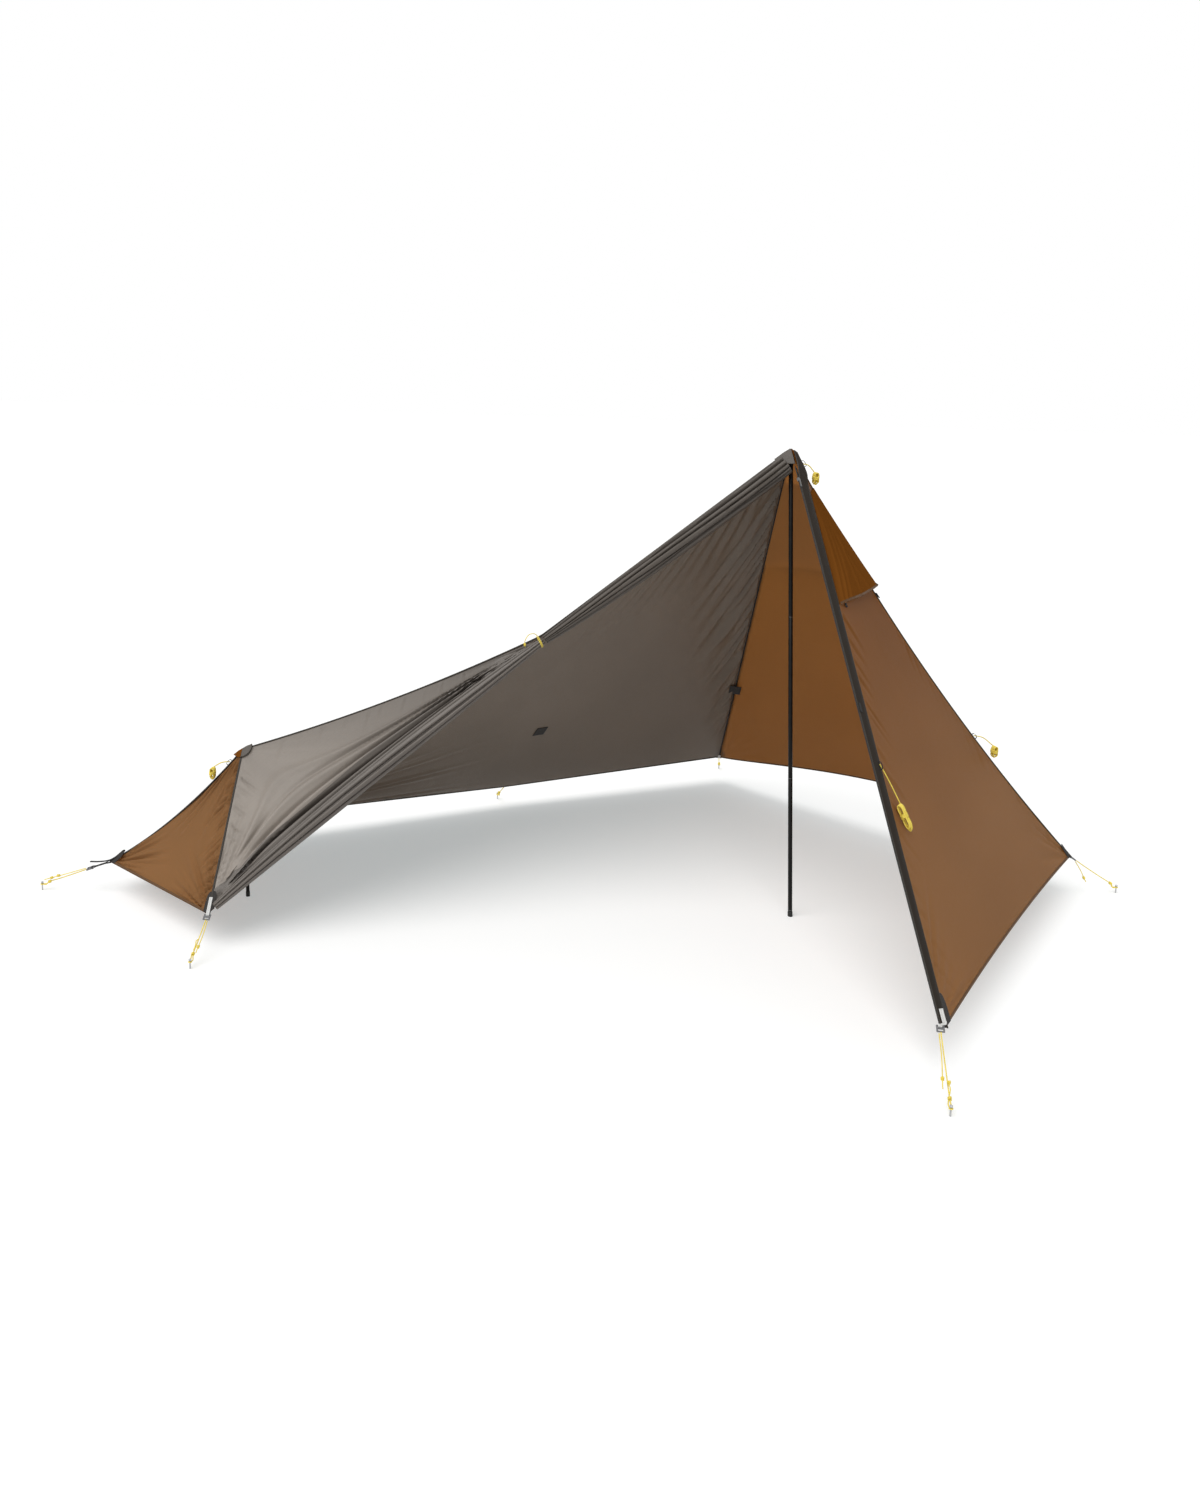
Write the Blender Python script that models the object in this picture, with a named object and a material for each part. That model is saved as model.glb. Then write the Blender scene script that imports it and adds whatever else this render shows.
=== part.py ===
"""Two-pole tarp shelter with a six-cornered plan, pitched with its door tied back.

Sizes are in metres. X runs along the ridge towards the head end, Y points away from the door
side and Z is up. The origin lies on the ground under the middle of the pitched shelter.
"""

import math

import bmesh
import bpy
from mathutils import Matrix, Vector

# Peaks, and where each pole stands
MAIN_PEAK_X = 0.480
MAIN_PEAK_HEIGHT = 1.289
MAIN_POLE_FOOT_X = 0.525
MAIN_POLE_FOOT_Y = -0.168
FOOT_PEAK_X = -1.007
FOOT_PEAK_HEIGHT = 0.419
FOOT_POLE_FOOT_X = -0.991
FOOT_POLE_FOOT_Y = -0.035

# Ridge point where the door is tied up
TIE_X = -0.188
TIE_HEIGHT = 0.754

# Corners of the fabric
HEAD_TIP = (1.413, 0.0, 0.111)
HEAD_CORNER_NEAR = (0.622, -0.951, 0.107)
HEAD_CORNER_FAR = (0.583, 0.961, 0.100)
WALL_HEM_MIDDLE = (-0.223, 0.690, 0.074)
FOOT_CORNER_NEAR = (-1.051, -0.348, 0.090)
FOOT_CORNER_FAR = (-1.051, 0.348, 0.090)
FOOT_TIP = (-1.377, 0.0, 0.087)

# Where the pegs stand on the ground, as x and y
HEAD_TIP_PEG = (1.562, -0.010)
HEAD_PEG_NEAR = (0.582, -1.125)
HEAD_PEG_FAR = (0.628, 1.128)
WALL_PEG = (-0.238, 0.775)
FOOT_PEG_NEAR = (-1.077, -0.466)
FOOT_PEG_FAR = (-1.080, 0.462)
FOOT_TIP_PEG = (-1.566, 0.005)

# How far seams and hems hang or draw in from a straight line
RIDGE_DIP = 0.020
HEAD_RIDGE_DIP = 0.040
FOOT_RIDGE_DIP = 0.030
HEAD_HEM_NEAR_DRAW = 0.013
HEAD_HEM_FAR_DRAW = 0.105
HEAD_HEM_FAR_RISE = 1.3
HEAD_HEM_FAR_FALL = 0.8

# Fabric, seams and gaps
FABRIC = 0.0010
MESH_FABRIC = 0.0006
SEAM_RADIUS = 0.0022
GAP = 0.0003
MAIN_SEAM_START = 0.03
FOOT_SEAM_START = 0.03
RIDGE_START = 0.026
RIDGE_END = 0.9915

# Zip beside the door and its slider
FLAP_TOP_WIDTH = 0.045
FLAP_BOTTOM_WIDTH = 0.032
FLAP_TAPER = 0.5
FLAP_THICKNESS = 0.0014
CHAIN_RADIUS = 0.0015
FAR_CHAIN_RADIUS = 0.0022
SLIDER_LENGTH = 0.010
SLIDER_WALL = 0.0014
SLIDER_REACH = 0.0042
PULL_LENGTH = 0.024
PULL_WIDTH = 0.005
NEAR_SLIDER_START = 0.100
FAR_SLIDER_START = 0.060

# Vent hood near the main peak
HOOD_TOP = 0.085
HOOD_BOTTOM = 0.31
HOOD_TOP_LIFT = 0.0029
HOOD_HEM_LIFT = 0.0145
HOOD_RIDGE_LIFT = -0.0025
HOOD_EDGE = 0.014
STRUT_PLACE = 0.30
STRUT_SETBACK = 0.012
STRUT_LEAN = math.radians(55.0)
STRUT_WIDTH = 0.012
STRUT_THICKNESS = 0.0016

# Poles
POLE_RADIUS = 0.0060
POLE_WALL = 0.0008
POLE_LOWER_JOINT = 0.388
POLE_UPPER_JOINT = 0.838
FERRULE_RADIUS = 0.0049
FERRULE_WALL = 0.0007
FERRULE_REACH = 0.050
BALL_RADIUS = 0.0065
BALL_NECK = 0.010
POLE_CAP_RADIUS = 0.0068
POLE_CAP_LENGTH = 0.014
SHOCK_CORD_RADIUS = 0.00125
FOOT_POLE_RADIUS = 0.0050
FOOT_BALL_RADIUS = 0.0055
FOOT_POLE_CAP_RADIUS = 0.0058

# Fabric caps over the peaks and the cups under them
MAIN_CAP_REACH = 0.052
FOOT_CAP_REACH = 0.028
CAP_FABRIC = 0.0010
PLUG_REACH = 0.014
FOOT_PLUG_REACH = 0.0084
PLUG_DEPTH = 0.016
CUP_RADIUS = 0.0110
FOOT_CUP_RADIUS = 0.0099
CUP_HEIGHT = 0.0090
PIVOT_DROP = 0.0042

# Gathered door
GATHER_RADIUS = 0.019
GATHER_NECK = 0.008
GATHER_BOW = 0.012
GATHER_END = 0.024
ROLL_RADIUS = 0.024
ROLL_NECK = 0.010
ROLL_START = 0.062
ROLL_FULL_START = 0.34
TIE_SPACE = 0.003
DOOR_HANG_TOWARDS_NEAR = 0.78
FOLD_DEPTH = 0.20
FOLD_TWIST = 1.6
GATHER_FOLDS = 5
ROLL_FOLDS = 4
BUNDLE_SIDES = 20
BUNDLE_RINGS = 14

# Line-locks, pegs and cords
LOCK_LENGTH = 0.017
LOCK_WIDTH = 0.018
LOCK_THICKNESS = 0.0040
LOCK_BARS = (0.0, 0.15, 0.38, 0.56, 0.85, 1.0)
LOCK_SIDES = (-0.5, -0.32, 0.32, 0.5)
FOOT_STRAP_LENGTH = 0.050
STRAP_WIDTH = 0.010
STRAP_THICKNESS = 0.0012
PEG_RADIUS = 0.0020
PEG_HEAD_RADIUS = 0.0034
PEG_HEAD_LENGTH = 0.0045
PEG_HEIGHT = 0.0255
PEG_HOOK_HEIGHT = 0.018
CORD_RADIUS = 0.0014
CORD_STEP = 0.0066
TIE_RADIUS = 0.0011
CORD_SAG = 0.0008

# Where guy loops are sewn on, as shares of the seam or panel
HEAD_RIDGE_LOOP = 0.67
FOOT_RIDGE_LOOP = 0.09
DOOR_EDGE_LOOP = 0.60
DOOR_EDGE_LOOP_ACROSS = 0.65
WALL_LOOP_ALONG = 0.44
WALL_LOOP_DOWN = 0.655

# Hanks of spare cord
HANK_LOOPS = 5
HANK_LOOP_POINTS = 12
HANK_PITCH = 0.0033
HANK_WAIST = 0.30
HANK_WIDTH = 0.016
HANK_SHORT = 0.030
HANK_LONG = 0.062

DOWN = Vector((0.0, 0.0, -1.0))
UP = Vector((0.0, 0.0, 1.0))


def clear_scene():
    for item in list(bpy.data.objects):
        bpy.data.objects.remove(item, do_unlink=True)


def material(name, colour, roughness, metallic=0.0):
    made = bpy.data.materials.new(name)
    made.use_nodes = True
    shader = made.node_tree.nodes["Principled BSDF"]
    shader.inputs["Base Color"].default_value = (*colour, 1.0)
    shader.inputs["Roughness"].default_value = roughness
    shader.inputs["Metallic"].default_value = metallic
    return made


def add_object(name, data, surface, parent=None, location=(0.0, 0.0, 0.0), turn=None):
    """Link an object, give it a material and place it, relative to its parent if it has one."""
    made = bpy.data.objects.new(name, data)
    bpy.context.collection.objects.link(made)
    if surface:
        data.materials.append(surface)
    made.parent = parent
    made.location = location
    if turn:
        made.rotation_mode = "QUATERNION"
        made.rotation_quaternion = turn
    return made


def pivot(name, location, turn=None):
    """An empty on a joint's axis, which carries the pieces that move about it."""
    return add_object(name, None, None, None, location, turn)


def mesh_from(name, points, faces):
    shape = bmesh.new()
    corners = [shape.verts.new(point) for point in points]
    for face in faces:
        shape.faces.new([corners[index] for index in face])
    bmesh.ops.recalc_face_normals(shape, faces=shape.faces)
    mesh = bpy.data.meshes.new(name)
    shape.to_mesh(mesh)
    shape.free()
    return mesh


def sheet(name, rows, thickness, surface, skip=(), parent=None, location=(0.0, 0.0, 0.0), turn=None):
    """A sheet through rows of points, given its thickness by a modifier. Cells in skip stay open."""
    across = len(rows[0])
    points = [point for row in rows for point in row]
    faces = []
    for down in range(len(rows) - 1):
        for along in range(across - 1):
            if (down, along) in skip:
                continue
            first = down * across + along
            faces.append((first, first + 1, first + across + 1, first + across))
    used = sorted({index for face in faces for index in face})
    renumbered = {index: place for place, index in enumerate(used)}
    points = [points[index] for index in used]
    faces = [tuple(renumbered[index] for index in face) for face in faces]
    made = add_object(name, mesh_from(name, points, faces), surface, parent, location, turn)
    solid = made.modifiers.new("Thickness", "SOLIDIFY")
    solid.thickness = thickness
    solid.offset = 0.0
    return made


def tube(name, points, radius, surface, resolution=1, parent=None, location=(0.0, 0.0, 0.0)):
    """A round bar along the points, closed at both ends."""
    curve = bpy.data.curves.new(name, "CURVE")
    curve.dimensions = "3D"
    curve.bevel_depth = radius
    curve.bevel_resolution = resolution
    curve.use_fill_caps = True
    spline = curve.splines.new("POLY")
    spline.points.add(len(points) - 1)
    for slot, point in zip(spline.points, points):
        slot.co = (*point, 1.0)
    return add_object(name, curve, surface, parent, location)


def turned(name, profile, surface, sides=16, parent=None, location=(0.0, 0.0, 0.0), turn=None):
    """A turned solid about local Z. The profile lists radius and height, from axis to axis or closed."""
    shape = bmesh.new()
    ring = [shape.verts.new((radius, 0.0, height)) for radius, height in profile]
    edges = [shape.edges.new(pair) for pair in zip(ring, ring[1:])]
    bmesh.ops.spin(
        shape, geom=ring + edges, cent=(0.0, 0.0, 0.0), axis=(0.0, 0.0, 1.0),
        angle=math.tau, steps=sides, use_merge=True, use_duplicate=False,
    )
    bmesh.ops.remove_doubles(shape, verts=shape.verts, dist=1e-6)
    bmesh.ops.recalc_face_normals(shape, faces=shape.faces)
    mesh = bpy.data.meshes.new(name)
    shape.to_mesh(mesh)
    shape.free()
    mesh.shade_smooth()
    mesh.set_sharp_from_angle(angle=math.radians(35.0))
    return add_object(name, mesh, surface, parent, location, turn)


def line(start, end, dip=0.0, towards=DOWN, rise=1.0, fall=1.0):
    """A line from start to end that bows by dip. Unequal rise and fall put its deepest point off centre."""
    peak = (rise / (rise + fall)) ** rise * (fall / (rise + fall)) ** fall

    def at(part):
        bow = dip * part ** rise * max(1.0 - part, 0.0) ** fall / peak
        return start.lerp(end, part) + towards * bow

    return at


def joined(first, second, split):
    """Two lines run as one, the first up to the part called split."""

    def at(part):
        if part <= split:
            return first(part / split)
        return second((part - split) / (1.0 - split))

    return at


def rest_of(edge, start):
    """The same line from the part called start onwards."""

    def at(part):
        return edge(start + (1.0 - start) * part)

    return at


def eased(edge, end):
    """The same line, bent near its end so that it ends at another point."""

    def at(part):
        return edge(part) + (end - edge(1.0)) * part ** 6

    return at


def patch(top, bottom, left, right):
    """The smooth surface between four edge lines."""

    def at(across, down):
        corners = top(0.0) * ((1.0 - across) * (1.0 - down)) + top(1.0) * (across * (1.0 - down))
        corners += bottom(0.0) * ((1.0 - across) * down) + bottom(1.0) * (across * down)
        upright = top(across) * (1.0 - down) + bottom(across) * down
        level = left(down) * (1.0 - across) + right(down) * across
        return upright + level - corners

    return at


def steps(count, start=0.0, end=1.0):
    return [start + (end - start) * place / count for place in range(count + 1)]


def inward(point, before, after, inner, distance):
    """Move an edge point into the sheet, square to the edge."""
    along = (after - before).normalized()
    into = inner - point
    into -= along * into.dot(along)
    return point + into.normalized() * distance


def corner_inward(point, first, second, from_first, from_second):
    """Move a corner point so that it lies the given distances from both of its edges."""
    one = (first - point).normalized()
    two = (second - point).normalized()
    spread = max(math.sin(one.angle(two)), 0.2)
    return point + (one * from_second + two * from_first) / spread


def trimmed(rows, left=0.0, right=0.0, top=0.0, bottom=0.0):
    """Draw the four edges of a grid of points inwards, to leave room for the seams."""
    last = len(rows) - 1
    end = len(rows[0]) - 1
    made = [[point.copy() for point in row] for row in rows]
    for down in range(1, last):
        row = rows[down]
        made[down][0] = inward(row[0], rows[down - 1][0], rows[down + 1][0], row[1], left)
        made[down][end] = inward(row[end], rows[down - 1][end], rows[down + 1][end], row[end - 1], right)
    for across in range(1, end):
        head = rows[0]
        foot = rows[last]
        made[0][across] = inward(head[across], head[across - 1], head[across + 1], rows[1][across], top)
        made[last][across] = inward(
            foot[across], foot[across - 1], foot[across + 1], rows[last - 1][across], bottom)
    made[0][0] = corner_inward(rows[0][0], rows[0][1], rows[1][0], top, left)
    made[0][end] = corner_inward(rows[0][end], rows[0][end - 1], rows[1][end], top, right)
    made[last][0] = corner_inward(rows[last][0], rows[last][1], rows[last - 1][0], bottom, left)
    made[last][end] = corner_inward(rows[last][end], rows[last][end - 1], rows[last - 1][end], bottom, right)
    for down, row in enumerate(made):
        from_left = row[0] - rows[down][0]
        from_right = row[end] - rows[down][end]
        for across in range(1, end):
            share = across / end
            row[across] += from_left * (1.0 - share) ** 4 + from_right * share ** 4
    return made


def smooth_route(route, spacing):
    """Points about spacing apart on the smooth curve through the route's own points."""
    dense = []
    padded = [route[0] * 2.0 - route[1]] + list(route) + [route[-1] * 2.0 - route[-2]]
    for before, start, end, after in zip(padded, padded[1:], padded[2:], padded[3:]):
        for part in steps(12)[:-1]:
            square = part * part
            cube = square * part
            dense.append((
                start * 2.0 + (end - before) * part
                + (before * 2.0 - start * 5.0 + end * 4.0 - after) * square
                + (start * 3.0 - before - end * 3.0 + after) * cube) * 0.5)
    dense.append(route[-1].copy())
    lengths = [0.0]
    for one, two in zip(dense, dense[1:]):
        lengths.append(lengths[-1] + (two - one).length)
    count = max(2, round(lengths[-1] / spacing))
    points = []
    place = 0
    for wanted in steps(count, 0.0, lengths[-1]):
        while place < len(lengths) - 2 and lengths[place + 1] < wanted:
            place += 1
        run = lengths[place + 1] - lengths[place]
        points.append(dense[place].lerp(dense[place + 1], (wanted - lengths[place]) / run))
    return points


def least_gap(points, diameter, skip):
    """Least distance between stretches of one cord that lie more than skip points apart."""
    found = math.inf
    for place in range(len(points)):
        for other in range(place + skip, len(points)):
            found = min(found, (points[place] - points[other]).length)
    return found - diameter


# Named points of the shelter

main_peak = Vector((MAIN_PEAK_X, 0.0, MAIN_PEAK_HEIGHT))
main_foot = Vector((MAIN_POLE_FOOT_X, MAIN_POLE_FOOT_Y, 0.0))
foot_peak = Vector((FOOT_PEAK_X, 0.0, FOOT_PEAK_HEIGHT))
foot_pole_base = Vector((FOOT_POLE_FOOT_X, FOOT_POLE_FOOT_Y, 0.0))
tie_point = Vector((TIE_X, 0.0, TIE_HEIGHT))
head_tip = Vector(HEAD_TIP)
head_near = Vector(HEAD_CORNER_NEAR)
head_far = Vector(HEAD_CORNER_FAR)
wall_middle = Vector(WALL_HEM_MIDDLE)
foot_near = Vector(FOOT_CORNER_NEAR)
foot_far = Vector(FOOT_CORNER_FAR)
foot_tip = Vector(FOOT_TIP)

# Seam and hem lines

head_run = (tie_point - main_peak).length
ridge_split = head_run / (head_run + (foot_peak - tie_point).length)
ridge_head = line(main_peak, tie_point)
ridge_foot = line(tie_point, foot_peak, RIDGE_DIP)
ridge = joined(ridge_head, ridge_foot, ridge_split)
head_slope = (head_tip - main_peak).normalized()
head_ridge_inward = head_slope.cross(Vector((0.0, 1.0, 0.0)))
if head_ridge_inward.z > 0.0:
    head_ridge_inward.negate()
head_ridge = line(main_peak, head_tip, HEAD_RIDGE_DIP, head_ridge_inward)
foot_ridge = line(foot_peak, foot_tip, FOOT_RIDGE_DIP)
head_edge_near = line(main_peak, head_near)
head_edge_far = line(main_peak, head_far)
foot_edge_near = line(foot_peak, foot_near)
foot_edge_far = line(foot_peak, foot_far)
tie_edge = line(tie_point, foot_near)
head_hem_near = line(
    head_near, head_tip, HEAD_HEM_NEAR_DRAW, (main_peak - (head_near + head_tip) / 2.0).normalized())
head_hem_far = line(
    head_far, head_tip, HEAD_HEM_FAR_DRAW, (main_peak - (head_far + head_tip) / 2.0).normalized(),
    HEAD_HEM_FAR_RISE, HEAD_HEM_FAR_FALL)
foot_hem_near = line(foot_near, foot_tip)
foot_hem_far = line(foot_far, foot_tip)
wall_hem = joined(line(head_far, wall_middle), line(wall_middle, foot_far), ridge_split)

# Places along the lines where the panels and seams have their points

main_steps = steps(10, MAIN_SEAM_START)
foot_steps = steps(5, FOOT_SEAM_START)
ridge_head_steps = steps(5, RIDGE_START, ridge_split)
ridge_foot_steps = steps(6, ridge_split, 1.0)
ridge_steps = ridge_head_steps + ridge_foot_steps[1:-1] + [RIDGE_END]
seam_room = SEAM_RADIUS + GAP

# The tied door hangs off the ridge, a little to the near side

door_slope = (tie_point - main_peak).normalized()
door_hang = Vector((0.0, -DOOR_HANG_TOWARDS_NEAR, -1.0))
door_hang = (door_hang - door_slope * door_hang.dot(door_slope)).normalized()
tied_drop = ROLL_NECK * (1.0 + FOLD_DEPTH) + TIE_RADIUS * 2.0 + seam_room + GAP * 2.0

# Materials

WALL_FABRIC = material("grey_brown_fabric", (0.115, 0.100, 0.082), 0.75)
HEAD_FABRIC = material("brown_fabric", (0.215, 0.110, 0.042), 0.70)
SEAM_TAPE = material("seam_tape", (0.030, 0.026, 0.022), 0.70)
VENT_NET = material("vent_net", (0.015, 0.015, 0.015), 0.80)
FLAP_FABRIC = material("zip_flap_fabric", (0.050, 0.044, 0.037), 0.70)
ZIP_PLASTIC = material("zip_plastic", (0.020, 0.020, 0.020), 0.45)
ZIP_METAL = material("zip_metal", (0.20, 0.20, 0.20), 0.35, 1.0)
POLE_BLACK = material("pole_black", (0.012, 0.012, 0.013), 0.35)
RUBBER = material("black_rubber", (0.018, 0.018, 0.018), 0.80)
LOCK_PLASTIC = material("grey_plastic", (0.16, 0.16, 0.17), 0.45)
PEG_METAL = material("grey_aluminium", (0.45, 0.45, 0.46), 0.40, 1.0)
CORD = material("yellow_cord", (0.72, 0.56, 0.06), 0.70)
ELASTIC = material("black_elastic", (0.03, 0.03, 0.03), 0.80)


def far_wall_surface():
    return patch(ridge, wall_hem, head_edge_far, foot_edge_far)


def face_normal(surface, across, down):
    """The direction out of a surface, which is the upward one on every panel."""
    one = surface(across + 0.02, down) - surface(across - 0.02, down)
    two = surface(across, down + 0.02) - surface(across, down - 0.02)
    out = one.cross(two).normalized()
    return out if out.z > 0.0 else -out


def build_far_wall():
    """The closed side, from the ridge down to the pegged hem."""
    surface = far_wall_surface()
    across = [0.0] + ridge_steps + [1.0]
    down = [0.0, MAIN_SEAM_START] + steps(6, 0.16)
    rows = [[surface(one, two) for one in across] for two in down]
    rows = trimmed(rows, seam_room, seam_room, seam_room, 0.0)
    rows[0][0] = (rows[0][1] + rows[1][0]) / 2.0
    rows[0][-1] = (rows[0][-2] + rows[1][-1]) / 2.0
    sheet("wall_far", rows, FABRIC, WALL_FABRIC)


def on_seam(edge, places, part):
    """A point of a seam as it is built, in straight runs between its places."""
    before = max(place for place in places if place <= part)
    after = min(place for place in places if place > part)
    return edge(before).lerp(edge(after), (part - before) / (after - before))


def fan(left, right, hem, places, start):
    """A three-cornered panel that starts a little below the peak where its two seams meet."""
    one = rest_of(left, start)
    two = rest_of(right, start)
    surface = patch(line(one(0.0), two(0.0)), hem, one, two)
    down = [(place - start) / (1.0 - start) for place in places]
    return surface, down


def flap_line(part, width_share=1.0):
    """A line beside the near head edge, as far from it as the zip flap is wide."""
    along = (head_near - main_peak).normalized()
    into = head_tip - main_peak
    into = (into - along * into.dot(along)).normalized()
    width = FLAP_TOP_WIDTH + (FLAP_BOTTOM_WIDTH - FLAP_TOP_WIDTH) * part
    width = min(width, FLAP_TAPER * part * (head_near - main_peak).length)
    return head_edge_near(part) + into * (width * width_share)


def head_near_surface():
    hem = line(
        flap_line(1.0), head_tip, HEAD_HEM_NEAR_DRAW,
        (main_peak - (head_near + head_tip) / 2.0).normalized())
    return fan(flap_line, head_ridge, hem, main_steps, MAIN_SEAM_START)


def build_head_panels():
    """The two brown panels of the head end. The near one has a netted vent under the hood."""
    surface, down = head_near_surface()
    rows = [[surface(one, two) for one in steps(8)] for two in down]
    rows = trimmed(rows, GAP, seam_room, 0.0, 0.0)
    opening = {(1, across) for across in range(2, 6)}
    sheet("head_panel_near", rows, FABRIC, HEAD_FABRIC, opening)
    net = [row[2:7] for row in rows[1:3]]
    sheet("vent_net", trimmed(net, GAP, GAP, GAP, GAP), MESH_FABRIC, VENT_NET)

    surface, down = fan(head_edge_far, head_ridge, head_hem_far, main_steps, MAIN_SEAM_START)
    rows = [[surface(one, two) for one in steps(8)] for two in down]
    sheet("head_panel_far", trimmed(rows, seam_room, seam_room, 0.0, 0.0), FABRIC, HEAD_FABRIC)


def build_foot_panels():
    """The two low panels of the foot end."""
    for name, edge, hem in (
            ("foot_panel_near", foot_edge_near, foot_hem_near),
            ("foot_panel_far", foot_edge_far, foot_hem_far)):
        surface, down = fan(edge, foot_ridge, hem, foot_steps, FOOT_SEAM_START)
        rows = [[surface(one, two) for one in steps(5)] for two in down]
        sheet(name, trimmed(rows, seam_room, seam_room, 0.0, 0.0), FABRIC, HEAD_FABRIC)


def bundle_radius(part, neck, middle, full=0.0):
    """Radius of gathered cloth along its length, narrow where it is tied. full above 0 opens its start."""
    return neck + (middle - neck) * math.sin(math.pi * (full + (1.0 - full) * part)) ** 0.8


def bundle_reach(part, neck, middle, full=0.0):
    return bundle_radius(part, neck, middle, full) * (1.0 + FOLD_DEPTH) + GAP


def bundle(name, centre_line, neck, middle, folds, phase, surface, full=0.0):
    """Gathered cloth: lengthwise folds that twist slowly along a line."""
    rings = []
    for part in steps(BUNDLE_RINGS):
        centre = centre_line(part)
        along = (centre_line(min(part + 0.01, 1.0)) - centre_line(max(part - 0.01, 0.0))).normalized()
        side = along.cross(UP).normalized()
        over = side.cross(along).normalized()
        radius = bundle_radius(part, neck, middle, full)
        ring = []
        for place in range(BUNDLE_SIDES):
            angle = math.tau * place / BUNDLE_SIDES - (phase + FOLD_TWIST / 2.0) / folds
            fold = 1.0 + FOLD_DEPTH * math.cos(folds * angle + phase + FOLD_TWIST * part)
            ring.append(centre + (side * math.cos(angle) + over * math.sin(angle)) * (radius * fold))
        rings.append(ring)
    points = [point for ring in rings for point in ring]
    faces = []
    for ring in range(BUNDLE_RINGS):
        for place in range(BUNDLE_SIDES):
            after = (place + 1) % BUNDLE_SIDES
            low = ring * BUNDLE_SIDES
            faces.append((low + place, low + after, low + BUNDLE_SIDES + after, low + BUNDLE_SIDES + place))
    faces.append(tuple(range(BUNDLE_SIDES)))
    faces.append(tuple(BUNDLE_RINGS * BUNDLE_SIDES + place for place in range(BUNDLE_SIDES)))
    add_object(name, mesh_from(name, points, faces), surface)


def facing(along, towards, folds):
    """The phase that turns one of the folds towards a direction halfway along the bundle."""
    side = along.cross(UP).normalized()
    over = side.cross(along).normalized()
    return -folds * math.atan2(towards.dot(over), towards.dot(side)) - FOLD_TWIST / 2.0


def gather_line():
    """Middle line of the gathered door between the tie and the near foot corner."""
    inside = (foot_peak - tie_edge(0.5))
    along = (foot_near - tie_point).normalized()
    inside = (inside - along * inside.dot(along)).normalized()
    start = tie_point + door_hang * tied_drop + along * TIE_SPACE
    end = foot_near - along * GATHER_END + inside * (GATHER_NECK / 2.0)
    return line(start, end, GATHER_BOW, inside), inside, along


def build_door():
    """The open door: taut to the foot corner, gathered along its free edge and tied to the ridge."""
    middle, inside, along = gather_line()
    phase = facing(along, inside, GATHER_FOLDS)
    bundle("door_gather", middle, GATHER_NECK, GATHER_RADIUS, GATHER_FOLDS, phase, WALL_FABRIC)

    def free_edge(part):
        reach = bundle_reach(part, GATHER_NECK, GATHER_RADIUS) + FABRIC / 4.0
        return middle(0.0).lerp(middle(1.0), part) + inside * (GATHER_BOW * 4.0 * part * (1.0 - part) + reach)

    ridge_part = line(foot_peak, tie_point, RIDGE_DIP)
    first = 1.0 - (RIDGE_END - ridge_split) / (1.0 - ridge_split)
    back = foot_peak - tie_point
    last = 1.0 - (free_edge(0.0) - tie_point).dot(back) / back.length_squared
    places = [first] + steps(6)[1:-1] + [last]
    left = eased(lambda part: ridge_part(first + (last - first) * part), free_edge(0.0))
    right = eased(rest_of(foot_edge_near, FOOT_SEAM_START), free_edge(1.0))
    surface = patch(line(left(0.0), right(0.0)), free_edge, left, right)
    down = [(place - first) / (last - first) for place in places]
    rows = [[surface(one, two) for one in steps(8)] for two in down]
    sheet("wall_near_foot", trimmed(rows, seam_room, seam_room, 0.0, 0.0), FABRIC, WALL_FABRIC)

    slope = (tie_point - main_peak).normalized()
    start = main_peak + slope * ROLL_START
    end = tie_point - slope * TIE_SPACE

    def hanging(part):
        reach = bundle_reach(part, ROLL_NECK, ROLL_RADIUS, ROLL_FULL_START) + SEAM_RADIUS
        return start.lerp(end, part) + door_hang * (reach + (TIE_RADIUS + GAP) * 2.0 * part ** 4)

    phase = facing(slope, -door_hang, ROLL_FOLDS)
    bundle(
        "door_roll", hanging, ROLL_NECK, ROLL_RADIUS, ROLL_FOLDS, phase, WALL_FABRIC, ROLL_FULL_START)

    ring = []
    over = -door_hang
    side = over.cross(along).normalized()
    centre = middle(0.0) + along * (TIE_SPACE * 3.0)
    tied_part = TIE_SPACE * 4.0 / (middle(1.0) - middle(0.0)).length
    radius = bundle_reach(tied_part, GATHER_NECK, GATHER_RADIUS) + TIE_RADIUS
    for turn in steps(15, math.radians(15.0), math.radians(345.0)):
        ring.append(centre + (over * math.cos(turn) + side * math.sin(turn)) * radius)
    tube("door_tie", ring, TIE_RADIUS, CORD, 2)


def build_seams():
    """Bound seams where two panels meet."""
    tube("ridge_seam", [ridge(part) for part in ridge_steps], SEAM_RADIUS, SEAM_TAPE)
    tube("head_ridge_seam", [head_ridge(part) for part in main_steps], SEAM_RADIUS, SEAM_TAPE)
    tube("foot_ridge_seam", [foot_ridge(part) for part in foot_steps], SEAM_RADIUS, SEAM_TAPE)
    straight = (FOOT_SEAM_START, 0.5, 1.0)
    tube("foot_seam_near", [foot_edge_near(part) for part in straight], SEAM_RADIUS, SEAM_TAPE)
    tube("foot_seam_far", [foot_edge_far(part) for part in straight], SEAM_RADIUS, SEAM_TAPE)


def edge_frame(edge, toward):
    """Directions along a straight edge, across it away from a point, and out of the fabric."""
    along = (edge(1.0) - edge(0.0)).normalized()
    across = edge(0.5) - toward
    across = (across - along * across.dot(along)).normalized()
    out = along.cross(across).normalized()
    if out.z < 0.0:
        out.negate()
    return along, across, out


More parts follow.
